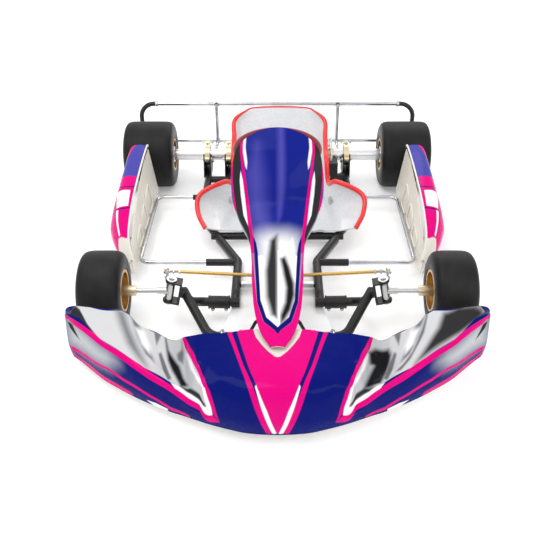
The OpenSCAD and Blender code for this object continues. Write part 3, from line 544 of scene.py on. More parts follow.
def softbox(name, location, target, size, power, spread=180):
    light = bpy.data.lights.new(name, "AREA")
    light.shape = "RECTANGLE"
    light.size, light.size_y = size
    light.energy = power
    light.spread = math.radians(spread)
    ob = link(name, light)
    ob.location = location
    aim = Vector(target) - Vector(location)
    ob.rotation_euler = aim.to_track_quat("-Z", "Y").to_euler()


def make_stage():
    s = Shade("floor_paper", (0.93, 0.93, 0.94), rough=0.8)
    fleck = s.noise(3, 4)
    s.colour(s.mix(s.span(fleck, 0.3, 0.7), (0.92, 0.92, 0.93), (0.95, 0.95, 0.955)))
    s.set("Emission Color", (1.0, 1.0, 1.0, 1.0))
    s.set("Emission Strength", 0.2)
    me = bpy.data.meshes.new("floor")
    me.from_pydata([(-20, -20, 0), (20, -20, 0), (20, 20, 0), (-20, 20, 0)], [], [(0, 1, 2, 3)])
    me.materials.append(s.mat)
    ob = link("floor", me)
    world = bpy.data.worlds.new("studio")
    bpy.context.scene.world = world
    world.use_nodes = True
    sky = world.node_tree.nodes["Background"]
    sky.inputs["Color"].default_value = (1.0, 1.0, 1.0, 1.0)
    sky.inputs["Strength"].default_value = 0.95
    softbox("key", (-1.2, -0.6, 3.4), (0, 0, 0.1), (2.6, 1.6), 42)
    softbox("fill", (1.9, -2.6, 2.2), (0, -0.3, 0.2), (1.6, 1.2), 16)
    softbox("back", (0.4, 3.0, 2.6), (0, 0.2, 0.2), (3.0, 1.0), 26)
    view = bpy.context.scene.view_settings
    view.view_transform = "Standard"
    view.look = "None"


make_camera()
make_stage()


# ---------------- painted bodywork
def inside(points, outline):
    """How far 2-D points lie inside a closed outline, negative outside."""
    q = np.asarray(outline, float).reshape(-1, 2)
    best = np.full(len(points), 1e9)
    odd = np.zeros(len(points), bool)
    for s, e in zip(q, np.roll(q, -1, 0)):
        v = e - s
        w = points - s
        t = np.clip((w @ v) / max(v @ v, 1e-9), 0, 1)
        best = np.minimum(best, np.linalg.norm(w - t[:, None] * v, axis=1))
        rise = e[1] - s[1] if abs(e[1] - s[1]) > 1e-9 else 1e-9
        reach = s[0] + (points[:, 1] - s[1]) * (e[0] - s[0]) / rise
        odd ^= ((s[1] <= points[:, 1]) != (e[1] <= points[:, 1])) & (points[:, 0] < reach)
    return np.where(odd, best, -best)


FAR = 50.0


def painted(name, grid, t, places, layers, material, slot, replaces):
    """A shell whose front carries paint; places holds each grid point's 2-D place on it, in mm."""
    points, quads = shell(grid, t)
    ob = build(name, points, quads, material, "chassis", slot, replaces, sharp=0)
    front = grid.shape[0] * grid.shape[1]
    flat = places.reshape(-1, 2)

    def keep(key, values):
        value = np.full(len(points), -FAR, np.float32)
        value[:front] = values
        ob.data.attributes.new(key, "FLOAT", "POINT").data.foreach_set("value", value)

    for key, mirrored, outline, _, _ in layers:
        keep(key, inside(np.abs(flat) * [1, 0] + flat * [0, 1] if mirrored else flat, outline))
    keep("face", FAR)


# nose: distance across the kart, then [distance behind the tip, height] from the lip to the back edge
NOSE_TIP = -915
NOSE = [
    [0, [11, 30], [0, 85], [6, 145], [34, 184], [110, 199], [253, 200]],
    [80, [17, 30], [5, 85], [12, 145], [44, 182], [124, 192], [253, 202]],
    [140, [34, 30], [22, 82], [30, 140], [62, 178], [135, 190], [241, 200]],
    [190, [52, 30], [43, 60], [45, 78], [52, 154], [110, 182], [237, 200]],
    [213, [62, 30], [54, 62], [54, 92], [95, 178], [150, 182], [235, 200]],
    [240, [74, 30], [65, 62], [65, 104], [110, 128], [173, 182], [230, 198]],
    [264, [85, 30], [76, 65], [78, 118], [140, 122], [205, 150], [233, 190]],
    [300, [100, 30], [91, 70], [96, 132], [140, 122], [185, 120], [250, 165]],
    [350, [126, 30], [117, 75], [125, 139], [172, 143], [225, 142], [279, 172]],
    [400, [155, 30], [146, 78], [155, 152], [220, 164], [252, 168], [291, 190]],
    [448, [187, 30], [178, 80], [192, 157], [250, 178], [290, 188], [344, 200]],
    [511, [234, 30], [226, 82], [237, 162], [290, 182], [320, 192], [356, 200]],
    [567, [289, 30], [281, 85], [292, 170], [325, 186], [345, 194], [365, 200]],
    [597, [317, 32], [309, 88], [322, 173], [345, 188], [358, 196], [370, 201]],
    [622, [335, 40], [325, 90], [350, 176], [358, 186], [364, 192], [370, 196]],
    [633, [352, 60], [345, 95], [358, 166], [364, 172], [368, 178], [372, 184]],
    [634, [376, 62], [370, 95], [374, 160], [378, 166], [380, 170], [382, 175]]]
NOSE_CREST = 2

# upright panel: half width, edge y and z, middle y and z, from its top down to the nose
PANEL = [
    [34, -72, 566, -73, 570], [68, -79, 557, -84, 560], [104, -91, 539, -102, 543],
    [134, -112, 508, -133, 514], [147, -140, 455, -170, 463], [150, -160, 410, -197, 420],
    [147, -178, 362, -220, 378], [132, -225, 332, -262, 352], [112, -275, 308, -305, 332],
    [88, -326, 284, -345, 312], [80, -400, 262, -412, 290], [78, -470, 244, -480, 270],
    [68, -590, 219, -596, 242], [48, -690, 212, -694, 226], [20, -752, 209, -756, 216]]

# side pod: place along the kart, then [distance across, height] from inner top edge to outer bottom
POD = [
    [-136, [505, 96], [511, 104], [518, 82], [513, 47]],
    [-62, [527, 146], [548, 140], [569, 100], [560, 45]],
    [40, [536, 176], [584, 166], [612, 110], [600, 42]],
    [130, [537, 202], [597, 186], [624, 115], [612, 40]],
    [240, [536, 225], [600, 206], [622, 130], [612, 40]],
    [390, [535, 247], [600, 233], [617, 150], [608, 45]],
    [500, [534, 256], [598, 249], [608, 168], [598, 56]],
    [515, [533, 250], [590, 244], [598, 168], [588, 62]]]


def run_across(grid):
    """Each point's distance from the start of its row."""
    step = np.linalg.norm(np.diff(grid, axis=1), axis=-1)
    return np.concatenate([np.zeros((len(grid), 1)), np.cumsum(step, 1)], 1)


def nose_surface(pitch):
    half = np.array([[[r[0], NOSE_TIP + d, z] for d, z in r[1:]] for r in NOSE], float)
    net = np.concatenate([(half * [-1, 1, 1])[:0:-1], half])
    grid, _, pv = surface(net, pitch, pitch)
    run = run_across(grid)
    crest = np.array([np.interp(NOSE_CREST, pv, row) for row in run])
    return grid, np.stack([grid[..., 0], run - crest[:, None]], -1)


def panel_surface(pitch):
    rows = []
    for half, edge_y, edge_z, mid_y, mid_z in PANEL:
        s = np.linspace(-1, 1, 17)
        h = 1 - np.abs(s) ** 1.7
        rows.append(np.stack([half * s, edge_y + (mid_y - edge_y) * h, edge_z + (mid_z - edge_z) * h], -1))
    grid, pu, _ = surface(np.array(rows), pitch, pitch * 0.8)
    middle = np.linalg.norm(np.diff(np.array(PANEL)[:, 3:], axis=0), axis=1)
    run = np.interp(pu, np.arange(len(PANEL)), np.concatenate([[0], np.cumsum(middle)]))
    return grid, np.stack([grid[..., 0], np.broadcast_to(run[:, None], grid.shape[:2])], -1)


def pod_surface(side, pitch):
    net = np.array([[[side * x, r[0], z] for x, z in r[1:]] for r in POD], float)
    grid = surface(net, pitch, pitch)[0]
    return grid - normals_of(grid) * 3 * side, np.stack([grid[..., 1], run_across(grid)], -1)


# ---------------- colours and outlines of the paint
NAVY = (0.001, 0.006, 0.145)
BLUE = (0.006, 0.014, 0.22)
VIOLET = (0.065, 0.062, 0.36)
PINK = (0.70, 0.0, 0.19)
MAGENTA = (0.56, 0.01, 0.24)
CHARCOAL = (0.026, 0.026, 0.028)
BLACK = (0.008, 0.008, 0.010)
LIGHT = (0.58, 0.58, 0.59)
GREY = (0.16, 0.165, 0.18)
SILVER = (0.50, 0.51, 0.53)
WHITE = (0.86, 0.86, 0.87)
IVORY = (0.72, 0.69, 0.61)

# each layer: name, both sides alike or not, outline as x, y pairs in mm on the surface, soft edge in mm,
# colour.
# On the nose a place is [distance across, distance back over the crest]
NOSE_LAYERS = [
    ("fade", True, [630, -13, 593, 4, 528, 1, 481, -3, 453, -22, 487, -60, 619, -93, 631, -74],
     40, SILVER),
    ("spike", True, [625, -16, 605, -11, 579, -46, 615, -31], 3, BLACK),
    ("low_upper", True, [629, -94, 569, -83, 487, -60, 433, -65, 336, -65, 294, -75, 241, -63, 242, -76,
     296, -91, 337, -76, 434, -77, 489, -70, 570, -97, 614, -106], 1, PINK),
    ("low_lower", True, [625, -112, 596, -126, 545, -114, 478, -108, 420, -108, 410, -120, 422, -128,
     597, -143, 623, -130], 1, PINK),
    ("low_white", True, [371, -101, 340, -90, 305, -93, 306, -105, 346, -111], 1, WHITE),
    ("wing", True, [613, 22, 601, 53, 555, 91, 457, 155, 375, 153, 327, 168, 293, 171, 269, 182,
     261, 152, 231, 108, 192, 82, 182, 44, 175, -18, 228, 5, 278, 5, 311, 23, 371, 14, 514, 19, 582, 29],
     1, LIGHT),
    ("wing_grey", False, [-452, 157, -476, 147, -455, 104, -423, 57, -388, 34, -363, 24, -368, 37,
     -425, 110], 22, GREY),
    ("wing_dark", False, [-612, 10, -613, 29, -601, 55, -585, 56, -553, 32, -514, 20], 4, CHARCOAL),
    ("right_dark", False, [486, 127, 540, 112, 590, 68, 608, 41, 612, 17, 569, 18, 501, 27, 380, 20,
     462, 85], 16, CHARCOAL),
    ("right_ridge", False, [439, 150, 435, 157, 417, 121, 379, 68, 349, 49, 325, 42, 340, 31, 370, 48,
     421, 104], 5, GREY),
    ("bowl_grey", True, [429, 155, 401, 145, 378, 123, 346, 63, 371, 69, 403, 107], 9, GREY),
    ("bowl_white", True, [409, 128, 384, 139, 364, 110, 362, 81, 387, 95], 10, WHITE),
    ("bowl_fleck", True, [356, 160, 335, 167, 347, 125], 4, GREY),
    ("bowl_line", True, [339, 106, 332, 117, 314, 88, 294, 47, 299, 26, 320, 61], 4, GREY),
    ("bowl_mid", True, [324, 169, 293, 171, 269, 182, 262, 152, 231, 108, 206, 91, 195, 74, 190, 24,
     237, 21, 264, 24, 311, 109], 4, SILVER),
    ("bowl_light", True, [259, 135, 251, 133, 228, 97, 201, 77, 213, 69, 237, 87], 5, WHITE),
    ("bowl_black", False, [-324, 168, -320, 168, -311, 139, -276, 99, -260, 61, -245, 43, -264, 24,
     -311, 109], 7, BLACK),
    ("right_black", False, [256, 140, 276, 149, 317, 138, 324, 118, 319, 98, 282, 26, 233, 38, 270, 99,
     257, 105], 9, BLACK),
    ("bowl_shade", False, [-271, 172, -264, 135, -265, 105, -282, 117, -285, 134, -271, 147], 6, GREY),
    ("bowl_base", True, [266, 24, 241, 36, 208, 41, 195, 33, 190, 24, 237, 21], 5, CHARCOAL),
    ("crest_navy", True, [628, 6, 582, 29, 514, 19, 371, 14, 311, 23, 279, 18, 278, 5, 380, 16, 483, 15,
     524, 22, 597, 10, 617, 2], 1, NAVY),
    ("crest_pink", True, [632, 5, 617, 2, 597, 10, 524, 22, 483, 15, 380, 16, 278, 5, 208, 11, 176, -15,
     155, -72, 210, -9, 264, -15, 528, 1, 609, -9, 631, -7], 1, PINK),
    ("v_white", True, [293, 17, 269, 21, 190, 21, 201, 77, 213, 87, 197, 95, 182, 44, 175, -18, 209, 9,
     278, 5], 1, WHITE),
    ("v_pink", True, [262, 184, 270, 180, 261, 152, 231, 108, 192, 82, 173, -14, 155, -72, 179, 64,
     196, 113, 219, 125, 243, 152], 1, PINK),
    ("centre", True, [118, 239, 72, 90, 28, -20, 2, -111, -9, -111, -9, 290, 118, 290], 1, PINK),
    ("outer_pink", True, [149, 250, 72, 22, 30, -111, 13, -111, 40, -20, 92, 115, 135, 250], 1, PINK),
    ("inner_navy", True, [135, 250, 56, 22, 50, 20, 72, 90, 118, 250], 1, NAVY),
    ("inner_white", True, [60, 46, 14, -111, 2, -111, 28, -20, 58, 54], 1, WHITE),
    ("notch", True, [72, 275, 61, 232, 45, 203, 26, 174, 8, 153, -4, 148, -4, 275], 1, IVORY)]

# on the panel a place is [distance across, distance down the middle from the top]
PANEL_LAYERS = [
    # the first two layers are painted highlights: lighter violet over the left half, and a lighter band just
    # right of the middle ridge, where the lamps light the panel
    ("painted_highlight_left", False, [-100, 158, -64, 60, -44, 166, -39, 274, -28, 322, -55, 353, -75, 330,
     -90, 266], 34, VIOLET),
    ("ridge_painted_highlight", False, [1, -4, 20, -4, 24, 127, 22, 206, 11, 292, 1, 322], 12, VIOLET),
    ("chrome", True, [60, 527, 66, 430, 66, 385, 56, 370, 30, 362, -60, 366, -60, 741, 32, 700, 50, 617],
     52, WHITE),
    ("chrome_edge", True, [57, 527, 62, 440, 46, 440, -4, 560, -4, 741, 32, 688, 50, 617], 1, WHITE),
    ("chrome_left", False, [-23, 388, -1, 370, 1, 493, 1, 700, -18, 683, -33, 610, -36, 512],
     11, CHARCOAL),
    ("chrome_right", False, [8, 464, 23, 453, 37, 497, 50, 557, 51, 599, 39, 659, 21, 702, 7, 726,
     7, 685, 21, 635, 25, 579], 9, BLACK),
    ("chrome_glint", False, [36, 401, 47, 376, 54, 410, 55, 479, 52, 547, 44, 514, 37, 464], 6, WHITE),
    ("ridge_line", False, [0.5, 430, 5, 430, 7, 560, 6, 720, 0.5, 736], 2, WHITE),
    ("top_white", True, [110, 47, 101, 34, 103, 73, 97, 121, 99, 145, 104, 133, 114, 73], 2, WHITE),
    ("dark", True, [121, 45, 141, 95, 147, 141, 145, 214, 134, 282, 123, 313, 100, 356, 82, 402,
     83, 362, 112, 284, 120, 226, 118, 58], 1, CHARCOAL),
    ("edge_grey", True, [140, 272, 134, 282, 123, 313, 100, 356, 82, 400, 82, 418, 96, 380, 122, 326,
     150, 290], 4, SILVER),
    ("wedge_pink", True, [144, 125, 145, 181, 141, 228, 132, 283, 153, 268, 156, 150], 1, PINK),
    ("wedge_violet", True, [149, 149, 146, 228, 141, 266, 156, 262, 156, 150], 1, VIOLET),
    ("white_band", True, [119, 147, 112, 178, 93, 333, 109, 294, 119, 226, 122, 181], 1, WHITE),
    ("stripe", True, [118, 50, 121, 90, 94, 325, 86, 362, 84, 419, 76, 426, 73, 426, 75, 378, 112, 99,
     110, 44], 1, PINK),
    ("low_navy", True, [77, 363, 60, 623, 39, 705, -3, 764, -3, 739, 32, 688, 50, 617, 61, 428, 67, 388],
     1, NAVY),
    ("low_pink", True, [90, 500, 75, 462, 60, 623, 39, 705, -3, 764, -3, 850, 90, 850], 1, PINK),
    ("low_violet", True, [88, 418, 76, 426, 73, 462, 74, 530, 90, 530], 9, MAGENTA)]

# on a pod a place is [distance along the kart, distance out from the inner top edge]
POD_LAYERS = [
    ("rear", False, [268, -5, 292, 66, 300, 260, 530, 260, 530, -5], 1, VIOLET),
    ("rear_flash", False, [420, 70, 530, 40, 530, 150, 440, 190], 1, PINK),
    ("inner_strip", False, [268, -5, 268, 9, 96, 11, 90, -5], 1, VIOLET),
    ("box_navy", False, [208, -3, 86, -3, 86, 84, 228, 96], 1, NAVY),
    ("box_pink", False, [203, 3, 92, 3, 92, 80, 222, 90], 1, PINK),
    ("box_white", False, [188, 19, 100, 15, 100, 60, 207, 82], 1, WHITE),
    ("outer_fade", False, [-140, 78, 20, 105, 60, 150, -140, 200], 26, WHITE),
    ("outer_line", False, [88, 60, 30, 52, -36, 40, -34, 33, 30, 44, 88, 50], 1, WHITE),
    ("tip", False, [-140, -9, -56, -9, -60, 12, -46, 28, -40, 44, -140, 90], 2, IVORY),
    ("top_edge", False, [-140, -9, 520, -9, 520, 2.5, 268, 2.5, 60, 3, -60, 4, -140, 4], 1, IVORY)]


# ---------------- places shared with the CAD part
FRONT = np.array([0, -362, 130.0])
REAR = np.array([0, 683, 142.0])
FRONT_IN, FRONT_W, FRONT_R = 489.5, 136, 130
REAR_IN, REAR_W, REAR_R = 446.5, 209, 142
RIM_R = 63.5
COLUMN = np.array([0, math.cos(math.radians(40)), math.sin(math.radians(40))])
WHEEL = np.array([0, 61, 430.45])
X = np.array([1.0, 0, 0])
SIDES = (("left", 1), ("right", -1))


def make_bodywork():
    grid, places = nose_surface(4.6)
    painted("nose_skin", grid, -3, places, NOSE_LAYERS, layered("nose_paint", NAVY, NOSE_LAYERS),
            "body_pink", ("nose_fairing",))
    grid, places = panel_surface(3.2)
    painted("panel_skin", grid, -3, places, PANEL_LAYERS, layered("panel_paint", BLUE, PANEL_LAYERS),
            "body_blue", ("front_panel",))
    shade = layered("pod_paint", PINK, POD_LAYERS)
    bead = plastic("ivory_edge", (0.80, 0.77, 0.70), 0.36, 460, 0.08)
    for side, s in SIDES:
        grid, places = pod_surface(s, 4.0)
        painted("pod_skin_" + side, grid, 3 * s, places, POD_LAYERS, shade,
                "pod_blue", ("pod_skin_" + side,))
        edge = np.concatenate([grid[:, 0], grid[-1, 1:]]) + [1.0 * s, 0, 0]
        Kit().add(tube(edge, 3.6, 10)).make("pod_edge_" + side, bead, "chassis", "ivory_plastic", sharp=60)


# seat: sideways shift of each row's middle, then half its outline from the middle out to the rim
SEAT = [
    [12, [0, 95, 92], [190, 95, 92], [238, 97, 94], [268, 100, 97], [284, 102, 100]],
    [13, [0, 150, 62], [172, 150, 64], [232, 158, 98], [292, 166, 118], [316, 168, 134]],
    [15, [0, 230, 48], [172, 230, 50], [222, 233, 98], [286, 230, 144], [310, 226, 179]],
    [14, [0, 320, 45], [166, 318, 50], [194, 308, 105], [208, 292, 165], [216, 276, 206]],
    [13, [0, 400, 52], [156, 395, 60], [178, 378, 100], [187, 362, 135], [190, 350, 166]],
    [11, [0, 460, 85], [148, 450, 92], [172, 430, 140], [181, 405, 200], [184, 390, 240]],
    [10, [0, 520, 160], [144, 512, 166], [170, 490, 200], [181, 465, 240], [184, 450, 262]],
    [10, [0, 572, 260], [142, 563, 260], [170, 545, 275], [181, 525, 290], [184, 515, 298]],
    [10, [0, 606, 335], [132, 598, 335], [166, 588, 338], [178, 580, 341], [183, 572, 344]],
    [12, [0, 626, 380], [60, 624, 380], [95, 621, 379], [112, 619, 378], [126, 616, 377]]]


def seat_surface(pitch):
    net = [[[shift - x, y, z] for x, y, z in half[:0:-1]] + [[shift + x, y, z] for x, y, z in half]
           for shift, *half in SEAT]
    return surface(np.array(net, float), pitch, pitch)[0]


def make_seat():
    grid = seat_surface(5.0)
    points, quads = shell(grid, 4)
    build("seat_shell_skin", points, quads, fibreglass("seat_gelcoat"), "chassis", "seat_grey",
          ("seat_shell",), sharp=0)
    out = normals_of(grid) * 2
    edge = np.concatenate([grid[:, 0] + out[:, 0], grid[-1, 1:] + out[-1, 1:],
                           grid[-2::-1, -1] + out[-2::-1, -1]])
    for _ in range(6):
        edge[1:-1] = (edge[:-2] + 2 * edge[1:-1] + edge[2:]) / 4
    thick = np.interp(edge[:, 2], [110, 300, 348, 366, 378], [9, 10.4, 8.4, 4.4, 3.8])
    kit = Kit().add(tube(edge, thick, 14))
    kit.make("seat_trim_roll", red_vinyl("seat_edging"), "chassis", "seat_red", ("seat_trim",))


def tyre_outline(r, w):
    bead = RIM_R + 0.1
    half = np.array([[bead, 7.4], [bead + 6, 5.4], [bead + 7.6, 2.2], [bead + 12, 0.4], [bead + 24, -1],
                     [r - 32, -0.2], [r - 16, 4], [r - 6, 12.5], [r - 2, 24], [r - 0.4, 38]])
    outer = np.concatenate([half, [[r, w / 2]], (half * [1, -1] + [0, w])[::-1]])
    outer = at(outer, even(outer, 3.0))
    inner = np.array([[bead, w - 14], [bead + 12, w - 10], [r - 22, w - 10], [r - 8, w - 26], [r - 8, 26],
                      [r - 22, 10], [bead + 12, 10], [bead, 14]])
    return np.concatenate([outer, inner, outer[:1]])


def make_tyres():
    front = tyre_rubber("front_rubber", FRONT[1], FRONT[2], FRONT_R)
    rear = tyre_rubber("rear_rubber", REAR[1], REAR[2], REAR_R)
    for side, s in SIDES:
        for end, centre, x, w, r, shade, body in (
                ("front", FRONT, FRONT_IN, FRONT_W, FRONT_R, front, "wheel_front_" + side),
                ("rear", REAR, REAR_IN, REAR_W, REAR_R, rear, "rear_axle")):
            name = "tyre_%s_%s" % (end, side)
            kit = Kit().add(lathe(tyre_outline(r, w), centre + X * s * x, X * s, 128))
            kit.make(name + "_slick", shade, body, "tyre_rubber", (name,), sharp=50)


def finish_nodes():
    """Better materials on the CAD pieces that stay."""
    coat = powder_coat("powder_coat")
    steel = brushed_metal("plated_steel", (0.63, 0.63, 0.64), 0.26, (1, 1, 8))
    axle = brushed_metal("ground_steel", (0.84, 0.84, 0.85), 0.24, (9, 1, 1), dirt=0.1)
    gold = brushed_metal("pale_anodised", (0.80, 0.68, 0.46), 0.3, (6, 1, 1))
    rod = brushed_metal("rod_anodised", (0.72, 0.46, 0.15), 0.28, (1, 8, 8))
    bronze = brushed_metal("rim_anodised", (0.60, 0.38, 0.15), 0.3, (8, 1, 1), dirt=0.35)
    plain = brushed_metal("cast_aluminium", (0.62, 0.62, 0.63), 0.36, (5, 1, 1))
    plated = chrome("chrome_plate")
    rubber = plastic("bumper_rubber", (0.012, 0.012, 0.013), 0.5, 420, 0.18)
    shades = {
        coat: "rail_left rail_right rail_middle front_hoop front_bars seat_cross rear_cross column_foot "
              "column_stay yokes side_stubs panel_stay seat_brackets carrier_stands pedal_brackets pitman",
        steel: "kingpins tray_bolts column spindle_left spindle_right carrier_bearings",
        axle: "rear_axle",
        gold: "carriers disc_hub hub_front_left hub_front_right",
        rod: "tie_rod_left tie_rod_right",
        bronze: "rim_front_left rim_front_right rear_rims",
        plain: "rear_hubs brake_pedal throttle_pedal",
        plated: "side_bar_left side_bar_right bumper_bars bumper_struts nose_bar_lower nose_bar_upper",
        sheet_metal("tray_lacquer"): "floor_tray",
        rubber: "bumper_ends",
        plastic("ivory_moulding", (0.79, 0.755, 0.67), 0.4, 460, 0.08): "pod_liner_left pod_liner_right",
        machined_disc("disc_face", REAR[1], REAR[2]): "brake_disc",
        powder_coat("caliper_coat", 0.014): "caliper",
        suede("wheel_grip_suede"): "steering_rim",
        plastic("spider_black", (0.02, 0.02, 0.022), 0.3, 700, 0.08): "wheel_spider"}
    for shade, names in shades.items():
        for name in names.split():
            for slot in NODES[name].material_slots:
                slot.material = shade
    return {"coat": coat, "steel": steel, "plain": plain, "rubber": rubber}


# ---------------- hardware
KINGPIN = np.array([346.5, FRONT[1], 131.5])
LEAN = np.array([-21, 0, 101.0]) / math.hypot(21, 101)
ARM_BALL = np.array([371, -246, FRONT[2]])
PITMAN = np.array([0, -277, 146.8])
PIN = PITMAN + [14, 50 * COLUMN[2], -50 * COLUMN[1]]
ROD = (PIN - ARM_BALL) / np.linalg.norm(PIN - ARM_BALL)
OUTRIGGER = np.array([0, -336, 65.0])
BUMPER_Y = 904.8
BUMPER_Z = (114, 291)
STRUT_X, COLLAR_X, DISC_X = 274, 546, 232
CARRIERS = (-304, -212, 301)
PEDAL = np.array([42, -492, 184])
HOOP_END, HOOP_CORNER = np.array([306.7, -338.3, 115.5]), np.array([211, -520, 65.0])


def saddle(at_, branch, r, on, along, main_r):
    """Seam where a branch tube that starts at at_ runs into the tube through on."""
    x, y, z = frame_at(branch)
    a = np.arange(40) * math.pi / 20
    start = np.asarray(at_, float) + r * (np.cos(a)[:, None] * x + np.sin(a)[:, None] * y)
    m = np.asarray(along, float) / np.linalg.norm(along)
    w = start - np.asarray(on, float)
    w = w - (w @ m)[:, None] * m
    d = z - z.dot(m) * m
    b, c = w @ d, (w * w).sum(1) - main_r ** 2
    root = np.sqrt(np.maximum(b * b - d.dot(d) * c, 0))
    return start + ((-b - root) / d.dot(d))[:, None] * z


def weld(seam):
    """Rippled bead along a closed seam."""
    fine = at(np.concatenate([seam, seam[:1]]), np.linspace(0, len(seam), 121)[:-1])
    return tube(fine, 1.9 + 0.45 * np.sin(np.arange(120) * math.pi / 2), 8, closed=True)


def make_welds(coat):
    kit = Kit()
    both = [
        ([141, -290, 65], [0, -1, 0], 15, [141, -336, 65], [1, 0, 0.02], 15),
        ([270, -363, 87], [27, -49, 34.5], 15, HOOP_END, HOOP_CORNER - HOOP_END, 15),
        ([150, 100, 65], [1, 0, 0], 14, [141, -83, 65], [133, 279, 0], 15),
        ([200, -88, 65], [-1, 0, 0], 13, [141, 0, 65], [0, 1, 0], 15),
        ([340, 421, 65], [-1, 0, 0], 11, [299, 421, 65], [0, 1, 0], 15),
        ([112, -580, 67], [0, 1, -0.03], 9, HOOP_CORNER, [1, 0, 0], 15)]
    for joint in both:
        for s in (1, -1):
            kit.add(weld(saddle(*joint)), s)
    kit.add(weld(saddle([-250, 590, 65], [-1, 0, 0], 14, [-299, 590, 65], [0, 1, 0], 15)))
    kit.add(weld(saddle([255, 592, 65], [120, 156, 0], 14, [299, 620, 65], [0, 1, 0], 15)))
    kit.make("weld_beads", coat, "chassis", "powder_coat_black", sharp=0)


def make_front_fittings(metals):
    """Clamp lugs and bolts on the outrigger sleeves, the stay's feet, discs on the kingpins."""
    black, steel, plain = Kit(), Kit(), Kit()
    for s in (1, -1):
        for x in (170, 214):
            lug = OUTRIGGER + [x, 0, -23.5]
            black.add(block(lug - [6, 7, 4.5], lug + [6, 7, 5.5], 1.5), s)
            steel.add(socket_bolt(lug - [0, 7, 0], [0, -1, 0], 4.6, 5), s)
            steel.add(bolt(lug + [0, 7, 0], [0, 1, 0], 8, 4), s)
        for x in (159, 225.5):
            black.add(lathe([[15.3, -2], [22, -2], [22.6, 0], [22, 2], [15.3, 2], [15.3, -2]],
                            OUTRIGGER + [s * x, 0, 1.5], X, 40))
        plain.add(block([63.4, -242.6, 60.4], [124.9, -223.4, 75.6], 1.6), s)
        for x in (72, 112):
            steel.add(socket_bolt([s * x, -242.6, 68], [0, -1, 0], 4.2, 4))
        for low, high in ((41.2, 45.5), (-45.5, -41.2)):
            plain.add(ring(8.9, 17.2, low, high, (0.7, 0.7), KINGPIN, LEAN), s)
    black.make("sleeve_lugs", metals["coat"], "chassis", "powder_coat_black")
    steel.make("front_bolts", metals["steel"], "chassis", "plated_steel")
    plain.make("feet_and_discs", metals["plain"], "chassis", "plated_steel")


def threads(start, end, r, pitch=1.25):
    """Threaded rod as a turned shape."""
    length = np.linalg.norm(end - start)
    n = int(length / pitch)
    profile = [[0, 0]]
    for i in range(n):
        profile += [[r, (i + 0.15) * length / n], [r * 0.88, (i + 0.65) * length / n]]
    return lathe(profile + [[0, length]], start, end - start, 16)


def make_rod_ends(metals):
    """Threads, lock nuts and rings of the tie rods' ball joints, on each tie rod."""
    for side, s in SIDES:
        kit = Kit()
        for ball, way, near, far, axis in ((ARM_BALL, ROD, 15, 47, [0, 0, 1]), (PIN, -ROD, 15, 34, COLUMN)):
            kit.add(threads(ball + way * near, ball + way * far, 5.0), s)
            for d in (20, far - 7):
                nut = lathe([[0, 0], [8.4, 0], [9.2, 0.8], [9.2, 5.2], [8.4, 6], [0, 6]],
                            ball + way * d, way, 6)
                kit.add(nut, s)
            kit.add(ring(9.9, 13, -4.4, 4.4, (0.8, 1), ball, axis, 40), s)
        kit.make("rod_ends_" + side, metals["steel"], "tie_rod_" + side, "plated_steel")


def seat_bolt(grid, x, y):
    """A wide washer and bolt lying on the seat's inside at the place nearest x, y."""
    flat, n = grid.reshape(-1, 3), normals_of(grid).reshape(-1, 3)
    i = np.argmin(np.abs(flat[:, :2] - [x, y]).sum(1))
    up = n[i] if n[i][2] > 0 else -n[i]
    place = flat[i] + up * 0.3
    kit = Kit().add(lathe([[0, 0], [17, 0], [18, 0.8], [17, 2], [0, 2]], place, up, 32))
    kit.add(lathe([[0, 2], [7.5, 2], [7.2, 4.4], [5.4, 5.4], [0, 5.6]], place, up, 24))
    return kit.shape()


def make_chassis_bolts(metals):
    """Seat, bumper, carrier and caliper fixings."""
    grid = seat_surface(5.0)
    steel, plain, rubber = Kit(), Kit(), Kit()
    for x, y in ((-120, 106), (160, 106), (212, 300), (-184, 300)):
        plain.add(seat_bolt(grid, x, y))
    for s in (1, -1):
        for z in BUMPER_Z:
            plain.add(ring(10.4, 13, -6, 6, (0.4, 0.6), [s * COLLAR_X, BUMPER_Y, z], X))
            steel.add(socket_bolt([s * COLLAR_X, BUMPER_Y - 12.6, z], [0, -1, 0], 4, 3))
            steel.add(bolt([s * STRUT_X, BUMPER_Y - 26.4, z], [0, -1, 0], 10, 5))
        rubber.add(lathe([[0, 3.5], [6.8, 3.4], [8.6, 2], [8.8, -5], [8.2, -5.4], [8.2, 0.2], [0, 0.3]],
                         [s * STRUT_X, BUMPER_Y - 18.5, BUMPER_Z[1] + 6.2], [0, 0, 1], 28))
    for x in CARRIERS:
        for a in (30, 150, 270):
            place = about_axle(REAR, x, 52, a)
            steel.add(bolt(place + X * 16.2, X, 10, 5.5, 2))
            steel.add(socket_bolt(place - X * 16.2, -X, 6, 6))
        steel.add(lathe([[0, 0], [3.4, 0], [3.4, 4], [2, 5], [2.2, 8], [1.2, 9.5], [0, 9.5]],
                        [x, REAR[1], REAR[2] + 46], [0, 0, 1], 12))
    for y in (569, 599):
        for way in (1, -1):
            steel.add(socket_bolt([DISC_X + 26.2 * way, y, 170], X * way, 5.5, 6))
    steel.make("chassis_bolts", metals["steel"], "chassis", "plated_steel")
    plain.make("seat_washers_and_collars", metals["plain"], "chassis", "plated_steel")
    rubber.make("strut_caps", metals["rubber"], "chassis", "rubber_black")


def valve(at_):
    """Rubber-footed valve with its cap, leaning out of the rim."""
    return lathe([[0, 0], [4.4, 0], [4.4, 6], [2.6, 7], [2.6, 22], [3.4, 22.4], [3.4, 28], [0, 28.6]],
                 at_, [0.94, 0, -0.34], 16)


def about_axle(centre, x, r, degrees):
    """The place at x on a bolt circle of radius r round an axle through centre."""
    a = math.radians(degrees)
    return np.array([x, centre[1] + r * math.sin(a), centre[2] - r * math.cos(a)])


